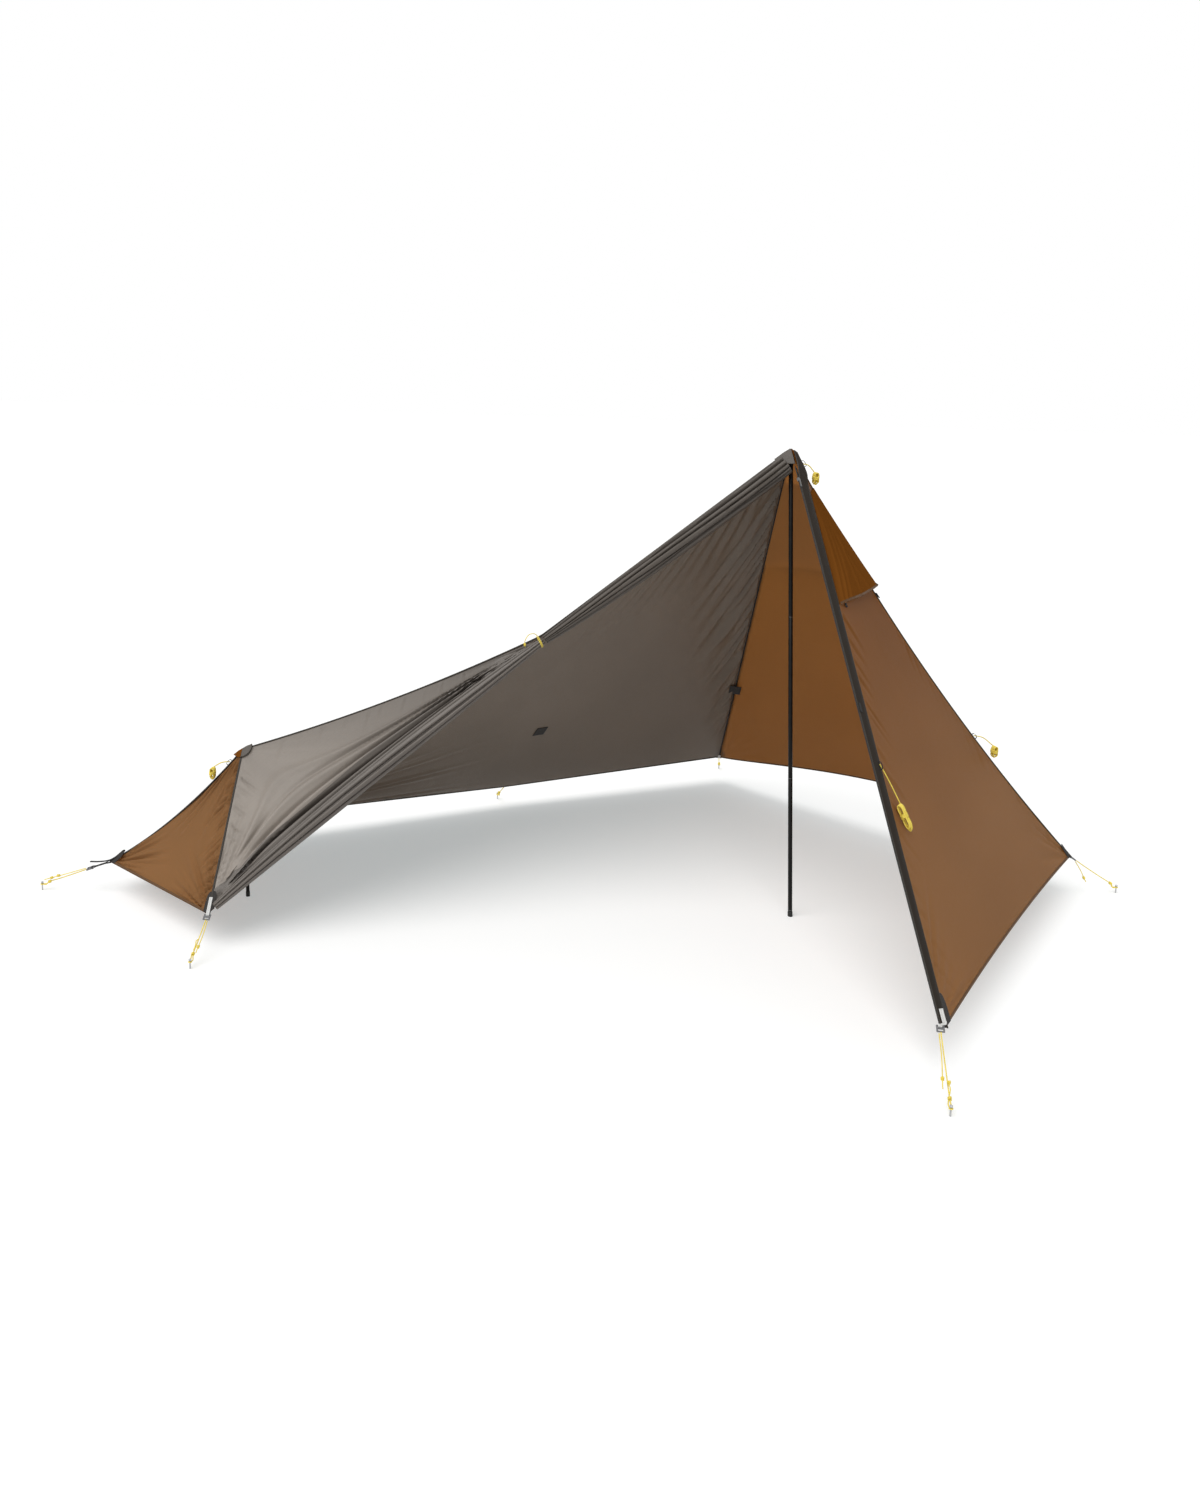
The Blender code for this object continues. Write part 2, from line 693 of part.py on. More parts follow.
def build_zips():
    """The open door's zip flap, chain and slider, and the closed zip on the far side."""
    rows = [[flap_line(part, share) for share in (0.0, 1.0)] for part in main_steps]
    rows = trimmed(rows, 0.0, GAP, 0.0, 0.0)
    sheet("zip_flap_near", rows, FLAP_THICKNESS, FLAP_FABRIC)

    along, across, out = edge_frame(head_edge_near, head_tip)
    offset = across * (CHAIN_RADIUS + GAP)
    whole = (head_near - main_peak).length
    ends = ((MAIN_CAP_REACH + CHAIN_RADIUS * 4.0) / whole, 1.0 - CHAIN_RADIUS * 2.0 / whole)
    tube("zip_chain_near", [head_edge_near(part) + offset for part in ends], CHAIN_RADIUS, ZIP_PLASTIC)
    start = head_edge_near(0.0) + along * NEAR_SLIDER_START + offset
    build_slider("zip_slider_near", start, along, across, out, CHAIN_RADIUS + GAP, True)

    tube(
        "zip_chain_far", [head_edge_far(part) for part in (MAIN_SEAM_START, 0.5, 1.0)],
        FAR_CHAIN_RADIUS, ZIP_PLASTIC)
    along, across, out = edge_frame(head_edge_far, (head_tip + foot_peak) / 2.0)
    out = across if across.y > 0.0 else -across
    start = head_edge_far(1.0) - along * FAR_SLIDER_START
    side = along.cross(out).normalized()
    build_slider("zip_slider_far", start, along, side, out, FAR_CHAIN_RADIUS + GAP, False)


def build_slider(name, place, along, across, out, inner, straddles):
    """A zip slider with its pull. The one on an open edge straddles the chain as a clip."""
    wall = SLIDER_WALL
    if straddles:
        outline = [
            (-SLIDER_REACH, inner + wall), (inner + wall, inner + wall), (inner + wall, -inner - wall),
            (-SLIDER_REACH, -inner - wall), (-SLIDER_REACH, -inner), (inner, -inner), (inner, inner),
            (-SLIDER_REACH, inner)]
    else:
        half = SLIDER_REACH
        outline = [(-half, inner), (half, inner), (half, inner + wall), (-half, inner + wall)]
    shape = bmesh.new()
    turn = Matrix((across, out, along)).transposed()
    loop = [shape.verts.new(turn @ Vector((one, two, -SLIDER_LENGTH / 2.0))) for one, two in outline]
    face = shape.faces.new(loop)
    grown = bmesh.ops.extrude_face_region(shape, geom=[face])
    moved = [item for item in grown["geom"] if isinstance(item, bmesh.types.BMVert)]
    bmesh.ops.translate(shape, verts=moved, vec=along * SLIDER_LENGTH)
    bmesh.ops.recalc_face_normals(shape, faces=shape.faces)
    mesh = bpy.data.meshes.new(name)
    shape.to_mesh(mesh)
    shape.free()
    body = add_object(name, mesh, ZIP_METAL, None, place)

    low = inner + wall * 0.5
    pull = mesh_from("pull", [
        turn @ Vector((one, two, three))
        for three in (0.0, PULL_LENGTH)
        for one, two in (
            (-PULL_WIDTH / 2.0, low), (PULL_WIDTH / 2.0, low),
            (PULL_WIDTH / 2.0, low + wall * 1.2), (-PULL_WIDTH / 2.0, low + wall * 1.2))
    ], [(0, 1, 2, 3), (7, 6, 5, 4), (0, 4, 5, 1), (1, 5, 6, 2), (2, 6, 7, 3), (3, 7, 4, 0)])
    tool = add_object(name + "_pull_shape", pull, None, None, place)
    tool.hide_render = True
    tool.display_type = "WIRE"
    union = body.modifiers.new("Pull", "BOOLEAN")
    union.operation = "UNION"
    union.solver = "EXACT"
    union.object = tool


def build_vent():
    """The hood over the head ridge that shades the net, and the strut that props it open."""
    near, _ = head_near_surface()
    far, _ = fan(head_edge_far, head_ridge, head_hem_far, main_steps, MAIN_SEAM_START)
    span = 1.0 - MAIN_SEAM_START

    def lifted(surface, across, down, lift):
        return surface(across, down) + face_normal(surface, across, down) * lift

    def lift_at(across, down):
        part = (down - HOOD_TOP) / (HOOD_BOTTOM - HOOD_TOP)
        return HOOD_TOP_LIFT + part * (HOOD_HEM_LIFT + HOOD_RIDGE_LIFT * math.sin(math.pi * across / 2.0))

    rows = []
    for down in steps(5, HOOD_TOP, HOOD_BOTTOM):
        share = (down - MAIN_SEAM_START) / span
        width = ((near(1.0, share) - near(0.0, share)).length)
        edge = min(HOOD_EDGE / width, 0.4)
        row = [lifted(near, across, share, lift_at(across, down)) for across in steps(4, edge / 4.0, 0.97)]
        crest = head_ridge(down)
        row.append(crest - head_ridge_inward * (lift_at(1.0, down) * 1.25))
        row += [lifted(far, across, share, lift_at(across, down)) for across in steps(4, 0.97, edge)]
        rows.append(row)
    hinge = (rows[0][4] + rows[0][6]) / 2.0
    base = pivot("vent_hood_hinge", hinge)
    rows = [[point - hinge for point in row] for row in rows]
    sheet("vent_hood", rows, FABRIC, HEAD_FABRIC, (), base)

    share = (HOOD_BOTTOM - STRUT_SETBACK - MAIN_SEAM_START) / span
    across = STRUT_PLACE
    foot = lifted(near, across, share, FABRIC / 2.0 + GAP * 1.5 + STRUT_THICKNESS / 2.0)
    top = lifted(near, across, share, 1.0)
    out = (top - foot).normalized()
    level = near(across + 0.05, share) - near(across - 0.05, share)
    level = (level - out * level.dot(out)).normalized()
    uphill = out.cross(level).normalized()
    if uphill.z < 0.0:
        uphill.negate()
    room = lift_at(across, HOOD_BOTTOM - STRUT_SETBACK * 3.0) - FABRIC - STRUT_THICKNESS * 1.4 - GAP * 2.0
    length = room / math.cos(STRUT_LEAN)
    stand = out * math.cos(STRUT_LEAN) + uphill * math.sin(STRUT_LEAN)
    thick = stand.cross(level).normalized()
    corners = []
    for one in (0.0, length):
        for two in (-STRUT_WIDTH / 2.0, STRUT_WIDTH / 2.0):
            for three in (-STRUT_THICKNESS / 2.0, STRUT_THICKNESS / 2.0):
                corners.append(stand * one + level * two + thick * three)
    mesh = mesh_from("vent_strut", corners, [
        (0, 1, 3, 2), (4, 6, 7, 5), (0, 4, 5, 1), (2, 3, 7, 6), (0, 2, 6, 4), (1, 5, 7, 3)])
    add_object("vent_strut", mesh, LOCK_PLASTIC, None, foot)


def peak_cap(name, peak, ribs, reach, plug_reach, plug_depth, surface):
    """A fabric cap over a peak. Its solid middle carries the cup for the pole."""
    count = len(ribs)
    lows = []
    highs = []
    for place, rib in enumerate(ribs):
        before = ribs[place - 1]
        after = ribs[(place + 1) % count]
        one = before.cross(rib).normalized()
        two = rib.cross(after).normalized()
        if one.z < 0.0:
            one.negate()
        if two.z < 0.0:
            two.negate()
        out = (one + two).normalized()
        over = 1.0 / out.dot(one)
        lows.append(out * ((SEAM_RADIUS + GAP * 1.5) * over))
        highs.append(out * ((SEAM_RADIUS + GAP * 1.5 + CAP_FABRIC) * over))
    flat = peak.z - plug_depth
    rings = [
        [peak + UP * (highs[0].length * 1.9)] * count,
        [peak + rib * reach + high for rib, high in zip(ribs, highs)],
        [peak + rib * reach + low for rib, low in zip(ribs, lows)],
        [peak + rib * plug_reach * 1.6 + low for rib, low in zip(ribs, lows)],
        [peak + rib * plug_reach for rib in ribs],
    ]
    rings.append([Vector((point.x, point.y, flat)) for point in rings[-1]])
    points = [rings[0][0]]
    for ring in rings[1:]:
        points += ring
    faces = []
    for place in range(count):
        after = (place + 1) % count
        faces.append((0, 1 + place, 1 + after))
        for ring in range(len(rings) - 2):
            low_row = 1 + ring * count
            high_row = low_row + count
            faces.append((low_row + place, low_row + after, high_row + after, high_row + place))
    last = 1 + (len(rings) - 2) * count
    faces.append(tuple(last + place for place in range(count)))
    add_object(name, mesh_from(name, points, faces), surface)


def cup_profile(radius, height, hollow, drop):
    """A round cup with a shallow ball seat in its underside, measured from its flat top."""
    centre = -height - drop
    rim = math.sqrt(hollow ** 2 - drop ** 2)
    seat = [(0.0, centre + hollow)]
    for angle in steps(3, 0.35, math.asin(rim / hollow)):
        seat.append((hollow * math.sin(angle), centre + hollow * math.cos(angle)))
    return [(0.0, 0.0), (radius * 0.8, 0.0), (radius, -height * 0.35), (radius, -height)] + seat[::-1]


def hanging_turn(direction):
    """The turn that takes local -Z onto a direction."""
    return DOWN.rotation_difference(direction)


def build_main_pole():
    """A three-section pole: hollow sections, each with a thinner joint end, on an elastic cord."""
    ribs = [(point - main_peak).normalized() for point in (tie_point, head_near, head_tip, head_far)]
    peak_cap("main_peak_cap", main_peak, ribs, MAIN_CAP_REACH, PLUG_REACH, PLUG_DEPTH, HEAD_FABRIC)
    lean = (main_foot - main_peak).normalized()
    cup_top = main_peak.z - PLUG_DEPTH - GAP
    hollow = BALL_RADIUS + GAP
    centre_height = cup_top - CUP_HEIGHT - PIVOT_DROP
    centre = main_peak + lean * ((main_peak.z - centre_height) / -lean.z)
    turned(
        "main_pole_cup", cup_profile(CUP_RADIUS, CUP_HEIGHT, hollow, PIVOT_DROP), RUBBER, 16, None,
        (centre.x, centre.y, cup_top))

    total = (main_foot - centre).length
    swing = pivot("main_pole_hinge", centre, hanging_turn(lean))
    ball = [(0.0, BALL_RADIUS)]
    for angle in steps(4, 0.4, math.pi / 2.0):
        ball.append((BALL_RADIUS * math.sin(angle), BALL_RADIUS * math.cos(angle)))
    ball += [(BALL_RADIUS, -BALL_NECK), (0.0, -BALL_NECK)]
    turned("main_pole_tip", ball, RUBBER, 16, swing)

    bore = POLE_RADIUS - POLE_WALL
    inner = FERRULE_RADIUS - FERRULE_WALL
    upper_end = -(total - POLE_UPPER_JOINT)
    lower_end = -(total - POLE_LOWER_JOINT)
    cap_top = -(total - POLE_CAP_LENGTH)

    def section(top, bottom, with_joint):
        profile = [(bore, top), (POLE_RADIUS, top), (POLE_RADIUS, bottom)]
        if with_joint:
            profile += [
                (FERRULE_RADIUS, bottom), (FERRULE_RADIUS, bottom - FERRULE_REACH),
                (inner, bottom - FERRULE_REACH), (inner, bottom + FERRULE_REACH),
                (bore, bottom + FERRULE_REACH)]
        else:
            profile += [(bore, bottom)]
        return profile + [(bore, top)]

    turned("main_pole_upper", section(-BALL_NECK - GAP, upper_end, True), POLE_BLACK, 16, swing)
    turned("main_pole_middle", section(upper_end - GAP, lower_end, True), POLE_BLACK, 16, swing)
    turned("main_pole_lower", section(lower_end - GAP, cap_top + GAP, False), POLE_BLACK, 16, swing)
    turned("main_pole_shock_cord", [
        (0.0, -BALL_NECK - GAP), (SHOCK_CORD_RADIUS, -BALL_NECK - GAP),
        (SHOCK_CORD_RADIUS, cap_top + GAP), (0.0, cap_top + GAP)], ELASTIC, 8, swing)
    foot_piece("main_pole_foot", POLE_CAP_RADIUS, cap_top, total, swing, centre, lean)


def foot_piece(name, radius, top, total, parent, centre, lean):
    """A rubber foot, cut flat where it meets the ground."""
    made = turned(name, [
        (0.0, top), (radius * 0.92, top), (radius, top - 0.002), (radius, -total - radius),
        (0.0, -total - radius)], RUBBER, 16, parent)
    place = Matrix.Translation(centre) @ hanging_turn(lean).to_matrix().to_4x4()
    back = place.inverted()
    level = (back.to_3x3() @ UP).normalized()
    shape = bmesh.new()
    shape.from_mesh(made.data)
    cut = bmesh.ops.bisect_plane(
        shape, geom=shape.verts[:] + shape.edges[:] + shape.faces[:],
        plane_co=back @ Vector((0.0, 0.0, 0.0)), plane_no=level, clear_inner=True)
    rim = [item for item in cut["geom_cut"] if isinstance(item, bmesh.types.BMEdge)]
    bmesh.ops.edgeloop_fill(shape, edges=rim)
    bmesh.ops.recalc_face_normals(shape, faces=shape.faces)
    shape.to_mesh(made.data)
    shape.free()


def build_foot_pole():
    """The short pole that props the foot end."""
    ribs = [(point - foot_peak).normalized() for point in (tie_point, foot_near, foot_tip, foot_far)]
    peak_cap("foot_peak_cap", foot_peak, ribs, FOOT_CAP_REACH, FOOT_PLUG_REACH, PLUG_DEPTH, HEAD_FABRIC)
    lean = (foot_pole_base - foot_peak).normalized()
    cup_top = foot_peak.z - PLUG_DEPTH - GAP
    hollow = FOOT_BALL_RADIUS + GAP
    drop = PIVOT_DROP * FOOT_BALL_RADIUS / BALL_RADIUS
    centre_height = cup_top - CUP_HEIGHT - drop
    centre = foot_peak + lean * ((foot_peak.z - centre_height) / -lean.z)
    turned(
        "foot_pole_cup", cup_profile(FOOT_CUP_RADIUS, CUP_HEIGHT, hollow, drop), RUBBER, 16, None,
        (centre.x, centre.y, cup_top))
    total = (foot_pole_base - centre).length
    swing = pivot("foot_pole_hinge", centre, hanging_turn(lean))
    profile = [(0.0, FOOT_BALL_RADIUS)]
    for angle in steps(4, 0.4, math.pi / 2.0):
        profile.append((FOOT_BALL_RADIUS * math.sin(angle), FOOT_BALL_RADIUS * math.cos(angle)))
    cap_top = -(total - POLE_CAP_LENGTH)
    profile += [
        (FOOT_BALL_RADIUS, -BALL_NECK), (FOOT_POLE_RADIUS, -BALL_NECK), (FOOT_POLE_RADIUS, cap_top + GAP),
        (0.0, cap_top + GAP)]
    turned("foot_pole", profile, POLE_BLACK, 16, swing)
    foot_piece("foot_pole_foot", FOOT_POLE_CAP_RADIUS, cap_top, total, swing, centre, lean)


# Each corner: its tip, its peg, the seam that runs into it, that seam's half thickness and its strap

CORNERS = (
    ("head_tip", head_tip, HEAD_TIP_PEG, head_ridge, SEAM_RADIUS, 0.0),
    ("head_near", head_near, HEAD_PEG_NEAR, head_edge_near, FLAP_THICKNESS / 2.0, 0.0),
    ("head_far", head_far, HEAD_PEG_FAR, head_edge_far, FAR_CHAIN_RADIUS, 0.0),
    ("foot_near", foot_near, FOOT_PEG_NEAR, foot_edge_near, SEAM_RADIUS, 0.0),
    ("foot_far", foot_far, FOOT_PEG_FAR, foot_edge_far, SEAM_RADIUS + FABRIC * 1.4, 0.0),
    ("foot_tip", foot_tip, FOOT_TIP_PEG, foot_ridge, SEAM_RADIUS, FOOT_STRAP_LENGTH),
)


def corner_frame(tip, peg):
    """Directions at a corner: along the cord to the peg, level across it, and out of the fabric."""
    hook = Vector((peg[0], peg[1], PEG_HOOK_HEIGHT))
    along = (hook - tip).normalized()
    level = along.cross(UP).normalized()
    out = level.cross(along).normalized()
    return hook, along, level, out


def build_line_lock(name, tip, peg, seam, half, strap):
    """A plate with two slots: one holds the corner's webbing, the other pinches the cord."""
    _, along, level, _ = corner_frame(tip, peg)
    into = (tip - seam(0.98)).normalized()
    start = tip + along * (half * into.cross(along).length + GAP * 1.5)
    if strap:
        ends = [[start + along * one + level * (STRAP_WIDTH * two) for two in (-0.5, 0.5)]
                for one in (0.0, strap)]
        sheet(name.replace("line_lock", "strap"), ends, STRAP_THICKNESS, SEAM_TAPE)
        start += along * (strap + GAP)
    rows = [
        [along * (LOCK_LENGTH * down) + level * (LOCK_WIDTH * across) for across in LOCK_SIDES]
        for down in LOCK_BARS]
    sheet(name, rows, LOCK_THICKNESS, LOCK_PLASTIC, {(1, 1), (3, 1)}, None, start)
    return start + along * (LOCK_LENGTH + GAP)


def build_peg(name, peg):
    """The part of a peg that stands above the ground: a round shaft with a head that holds the cord."""
    neck = PEG_HEIGHT - PEG_HEAD_LENGTH
    turned(name, [
        (0.0, 0.0), (PEG_RADIUS, 0.0), (PEG_RADIUS, neck - 0.001), (PEG_HEAD_RADIUS, neck),
        (PEG_HEAD_RADIUS, PEG_HEIGHT - 0.001), (PEG_HEAD_RADIUS * 0.7, PEG_HEIGHT), (0.0, PEG_HEIGHT)],
        PEG_METAL, 10, None, (peg[0], peg[1], 0.0))


def build_peg_cord(name, start, peg):
    """A taut cord from a corner down to the shaft of its peg."""
    hook = Vector((peg[0], peg[1], PEG_HOOK_HEIGHT))
    along = (hook - start).normalized()
    flat = Vector((along.x, along.y, 0.0))
    stop = PEG_RADIUS + GAP + CORD_RADIUS * abs(along.z)
    end = hook - flat.normalized() * stop
    route = [start, start.lerp(end, 0.35) + DOWN * CORD_SAG, start.lerp(end, 0.7) + DOWN * CORD_SAG, end]
    tube(name, smooth_route(route, CORD_STEP), CORD_RADIUS, CORD, 2)


def build_pegs_and_cords():
    for name, tip, peg, seam, half, strap in CORNERS:
        start = build_line_lock("line_lock_" + name, tip, peg, seam, half, strap)
        build_peg("peg_" + name, peg)
        build_peg_cord("cord_" + name, start, peg)
    build_peg("peg_wall", WALL_PEG)
    toward = (Vector((*WALL_PEG, PEG_HOOK_HEIGHT)) - wall_middle).normalized()
    build_peg_cord("cord_wall", wall_middle + toward * (FABRIC / 2.0 + GAP), WALL_PEG)


def hank_points(lead, across, fall, height, width):
    """One cord: a lead from its loop, then even turns wound round a line across its fall."""
    points = smooth_route(lead, CORD_STEP)
    top = points[-1]
    side = across.cross(fall).normalized()
    for place in range(1, HANK_LOOPS * HANK_LOOP_POINTS + HANK_LOOP_POINTS // 2 + 1):
        angle = math.tau * place / HANK_LOOP_POINTS
        part = (1.0 - math.cos(angle)) / 2.0
        pinch = 1.0 - HANK_WAIST * math.sin(math.pi * part) ** 2
        points.append(
            top + fall * (height * part) + side * (width / 2.0 * math.sin(angle) * pinch)
            + across * (HANK_PITCH * place / HANK_LOOP_POINTS))
    return points


def build_hank(name, lead, across, fall, height):
    points = hank_points(lead, across.normalized(), fall.normalized(), height, HANK_WIDTH)
    gap = least_gap(points, CORD_RADIUS * 2.0, HANK_LOOP_POINTS // 2)
    print(f"{name}: least gap to itself {gap * 1000.0:.2f} mm")
    tube(name, points, CORD_RADIUS, CORD, 1)


def build_hanks():
    """Spare guy cords, wound up and left hanging from the seams and panels that they brace."""
    room = SEAM_RADIUS + GAP + CORD_RADIUS
    ridge_out = -head_ridge_inward
    across = Vector((0.2, -1.0, 0.0))
    start = main_peak + head_slope * (MAIN_CAP_REACH + GAP + CORD_RADIUS * 0.85) + ridge_out * (room + GAP)
    build_hank("hank_main_peak", (
        start, start + Vector((0.016, -0.002, -0.004)), start + Vector((0.032, -0.006, -0.022))),
        across, DOWN, HANK_SHORT)
    start = head_ridge(HEAD_RIDGE_LOOP) + ridge_out * room
    build_hank("hank_head_ridge", (
        start, start + Vector((0.028, -0.001, -0.006)), start + Vector((0.058, -0.004, -0.028))),
        across, DOWN, HANK_SHORT)
    seam = on_seam(foot_ridge, foot_steps, FOOT_RIDGE_LOOP)
    foot_slope = (foot_ridge(foot_steps[1]) - foot_ridge(foot_steps[0])).normalized()
    start = seam + Vector((foot_slope.z, 0.0, -foot_slope.x)) * (room - GAP * 2.0)
    build_hank("hank_foot_peak", (
        start, start + Vector((-0.022, -0.002, -0.002)), start + Vector((-0.044, -0.004, -0.014))),
        Vector((-0.2, -1.0, 0.0)), DOWN, HANK_SHORT)

    surface, _ = head_near_surface()
    out = face_normal(surface, 0.04, DOOR_EDGE_LOOP)
    fall = (DOWN - out * DOWN.dot(out)).normalized()
    start = flap_line(DOOR_EDGE_LOOP, DOOR_EDGE_LOOP_ACROSS) + out * (FLAP_THICKNESS / 2.0 + GAP * 1.5 + CORD_RADIUS)
    away = out * (HANK_WIDTH / 2.0 + CORD_RADIUS)
    build_hank("hank_door_edge", (
        start, start + fall * 0.045 + away * 0.5, start + fall * 0.105 + away),
        fall.cross(out), fall, HANK_LONG)
    surface = far_wall_surface()
    out = face_normal(surface, WALL_LOOP_ALONG, WALL_LOOP_DOWN)
    fall = (DOWN - out * DOWN.dot(out)).normalized()
    start = surface(WALL_LOOP_ALONG, WALL_LOOP_DOWN) + out * (FABRIC / 2.0 + GAP * 3.0 + CORD_RADIUS)
    build_hank("hank_wall_far", (
        start, start + fall * 0.016 + away.length * out * 0.6, start + fall * 0.032 + away.length * out),
        fall.cross(out), fall, HANK_SHORT)


clear_scene()
build_far_wall()
build_head_panels()
build_foot_panels()
build_door()
build_seams()
build_zips()
build_vent()
build_main_pole()
build_foot_pole()
build_pegs_and_cords()
build_hanks()
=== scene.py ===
# %% [markdown]
# A light shelter of thin cloth, held up by two poles and stretched to pegs. Almost everything on
# it is cloth under tension, so the lesson is mostly about sheets: where their edges run, how they
# fold, and what light does in them. The CAD model is loaded first, and every piece rides on it.

# %% Load the CAD model
import math
import random

import bmesh
import bpy
from mathutils import Matrix, Vector


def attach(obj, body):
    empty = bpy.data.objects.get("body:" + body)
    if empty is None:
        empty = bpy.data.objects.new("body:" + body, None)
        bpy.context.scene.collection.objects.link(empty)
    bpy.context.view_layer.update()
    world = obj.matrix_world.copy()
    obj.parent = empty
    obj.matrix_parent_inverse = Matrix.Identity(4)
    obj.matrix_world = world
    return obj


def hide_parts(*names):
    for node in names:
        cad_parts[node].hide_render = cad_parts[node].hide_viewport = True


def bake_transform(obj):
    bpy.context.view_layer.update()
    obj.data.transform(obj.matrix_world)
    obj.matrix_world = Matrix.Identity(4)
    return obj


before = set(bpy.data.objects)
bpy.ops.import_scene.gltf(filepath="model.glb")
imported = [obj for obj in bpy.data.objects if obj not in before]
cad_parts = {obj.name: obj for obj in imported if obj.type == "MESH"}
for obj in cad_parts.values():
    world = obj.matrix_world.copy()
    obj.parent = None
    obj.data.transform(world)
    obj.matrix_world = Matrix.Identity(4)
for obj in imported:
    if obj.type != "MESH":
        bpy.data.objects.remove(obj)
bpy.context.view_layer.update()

# %% [markdown]
# The camera comes first. It stands at eye height, looks a little down and leans by two degrees.
# The lens shift keeps the horizon where the picture has it.

# %% Camera
CAMERA_PLACE = Vector((-0.545, -3.431, 1.510))
CAMERA_YAW = math.radians(4.46)
CAMERA_PITCH = math.radians(10.79)
CAMERA_ROLL = math.radians(1.89)

ahead = Vector((
    math.sin(CAMERA_YAW) * math.cos(CAMERA_PITCH),
    math.cos(CAMERA_YAW) * math.cos(CAMERA_PITCH),
    -math.sin(CAMERA_PITCH)))
level = Vector((math.cos(CAMERA_YAW), -math.sin(CAMERA_YAW), 0.0))
over = level.cross(ahead)
right = level * math.cos(CAMERA_ROLL) + over * math.sin(CAMERA_ROLL)
upright = over * math.cos(CAMERA_ROLL) - level * math.sin(CAMERA_ROLL)

lens = bpy.data.cameras.new("camera")
lens.sensor_fit = "VERTICAL"
lens.sensor_height = 36.0
lens.lens = 30.51
lens.shift_x = 0.06
lens.shift_y = -0.10
camera = bpy.data.objects.new("camera", lens)
turned_to = Matrix((right, upright, -ahead)).transposed().to_4x4()
camera.matrix_world = Matrix.Translation(CAMERA_PLACE) @ turned_to
bpy.context.scene.collection.objects.link(camera)
bpy.context.scene.camera = camera
bpy.context.scene.view_settings.view_transform = "Standard"

# %% [markdown]
# The key points and seam lines repeat the CAD model's, so each new sheet ends where its solid does.
# A line is a function of a part from 0 to 1 that returns a point. Some lines sag or draw in.

# %% Key points
DOWN = Vector((0.0, 0.0, -1.0))
UP = Vector((0.0, 0.0, 1.0))
FAR = Vector((0.0, 1.0, 0.0))
main_peak = Vector((0.480, 0.0, 1.289))
foot_peak = Vector((-1.007, 0.0, 0.419))
tie_point = Vector((-0.188, 0.0, 0.754))
head_tip = Vector((1.413, 0.0, 0.111))
head_near = Vector((0.622, -0.951, 0.107))
head_far = Vector((0.583, 0.961, 0.100))
wall_middle = Vector((-0.223, 0.690, 0.074))
foot_near = Vector((-1.051, -0.348, 0.090))
foot_far = Vector((-1.051, 0.348, 0.090))
foot_tip = Vector((-1.377, 0.0, 0.087))
PEGS = {
    "head_tip": (1.562, -0.010),
    "head_near": (0.582, -1.125),
    "head_far": (0.628, 1.128),
    "wall": (-0.238, 0.775),
    "foot_near": (-1.077, -0.466),
    "foot_far": (-1.080, 0.462),
    "foot_tip": (-1.566, 0.005),
}
SEAM_RADIUS = 0.0022
GAP = 0.0003
SEAM_START = 0.03
RIDGE_END = 0.9915
CAP_REACH = 0.052
CLOTH = 0.0006


# %% Lines and surfaces
def line(start, end, dip=0.0, towards=DOWN, rise=1.0, fall=1.0):
    """A line from start to end that bows by dip. rise and fall move its deepest place."""
    peak = (rise / (rise + fall)) ** rise * (fall / (rise + fall)) ** fall

    def at(part):
        share = min(max(part, 0.0), 1.0)
        bow = dip * share ** rise * (1.0 - share) ** fall / peak
        return start.lerp(end, part) + towards * bow

    return at


def joined(first, second, split):
    """Two lines as one, which meet where the part is split."""
    def at(part):
        return first(part / split) if part <= split else second((part - split) / (1.0 - split))

    return at


def rest_of(edge):
    """An edge without its first bit, where all the seams run together at the peak."""
    return lambda part: edge(SEAM_START + (1.0 - SEAM_START) * part)


def patch(top, bottom, left, right):
    """The smooth surface between four edge lines."""
    a, b, c, d = top(0.0), top(1.0), bottom(0.0), bottom(1.0)

    def at(across, down):
        above, below = a * (1.0 - across) + b * across, c * (1.0 - across) + d * across
        corners = above * (1.0 - down) + below * down
        upright_part = top(across) * (1.0 - down) + bottom(across) * down
        level_part = left(down) * (1.0 - across) + right(down) * across
        return upright_part + level_part - corners

    return at


def steps(count, start=0.0, end=1.0):
    return [start + (end - start) * place / count for place in range(count + 1)]


def unit(vector):
    return vector.normalized()


def square_to(vector, axis):
    """The part of a vector that is square to an axis, at length 1."""
    return unit(vector - axis * vector.dot(axis))


def pointing(vector, way):
    """The vector or its opposite, whichever points more along way."""
    return -vector if vector.dot(way) < 0.0 else vector


def way_at(points, place):
    """The direction of a row of points at one of them."""
    return unit(points[min(place + 1, len(points) - 1)] - points[max(place - 1, 0)])


def lengths_along(points):
    lengths = [0.0]
    for one, two in zip(points, points[1:]):
        lengths.append(lengths[-1] + (two - one).length)
    return lengths


def run_length(points):
    return lengths_along(points)[-1]


def smooth_route(route, spacing):
    """Points about spacing apart on the smooth curve through the route's own points."""
    dense = []
    ends = [route[0] * 2.0 - route[1]] + list(route) + [route[-1] * 2.0 - route[-2]]
    for before, start, end, after in zip(ends, ends[1:], ends[2:], ends[3:]):
        for part in steps(12)[:-1]:
            square = part * part
            cube = square * part
            dense.append((
                start * 2.0 + (end - before) * part
                + (before * 2.0 - start * 5.0 + end * 4.0 - after) * square
                + (start * 3.0 - before - end * 3.0 + after) * cube) * 0.5)
    dense.append(route[-1].copy())
    lengths = lengths_along(dense)
    points = []
    place = 0
    for wanted in steps(max(2, round(lengths[-1] / spacing)), 0.0, lengths[-1]):
        while place < len(lengths) - 2 and lengths[place + 1] < wanted:
            place += 1
        run = lengths[place + 1] - lengths[place]
        points.append(dense[place].lerp(dense[place + 1], (wanted - lengths[place]) / run))
    return points


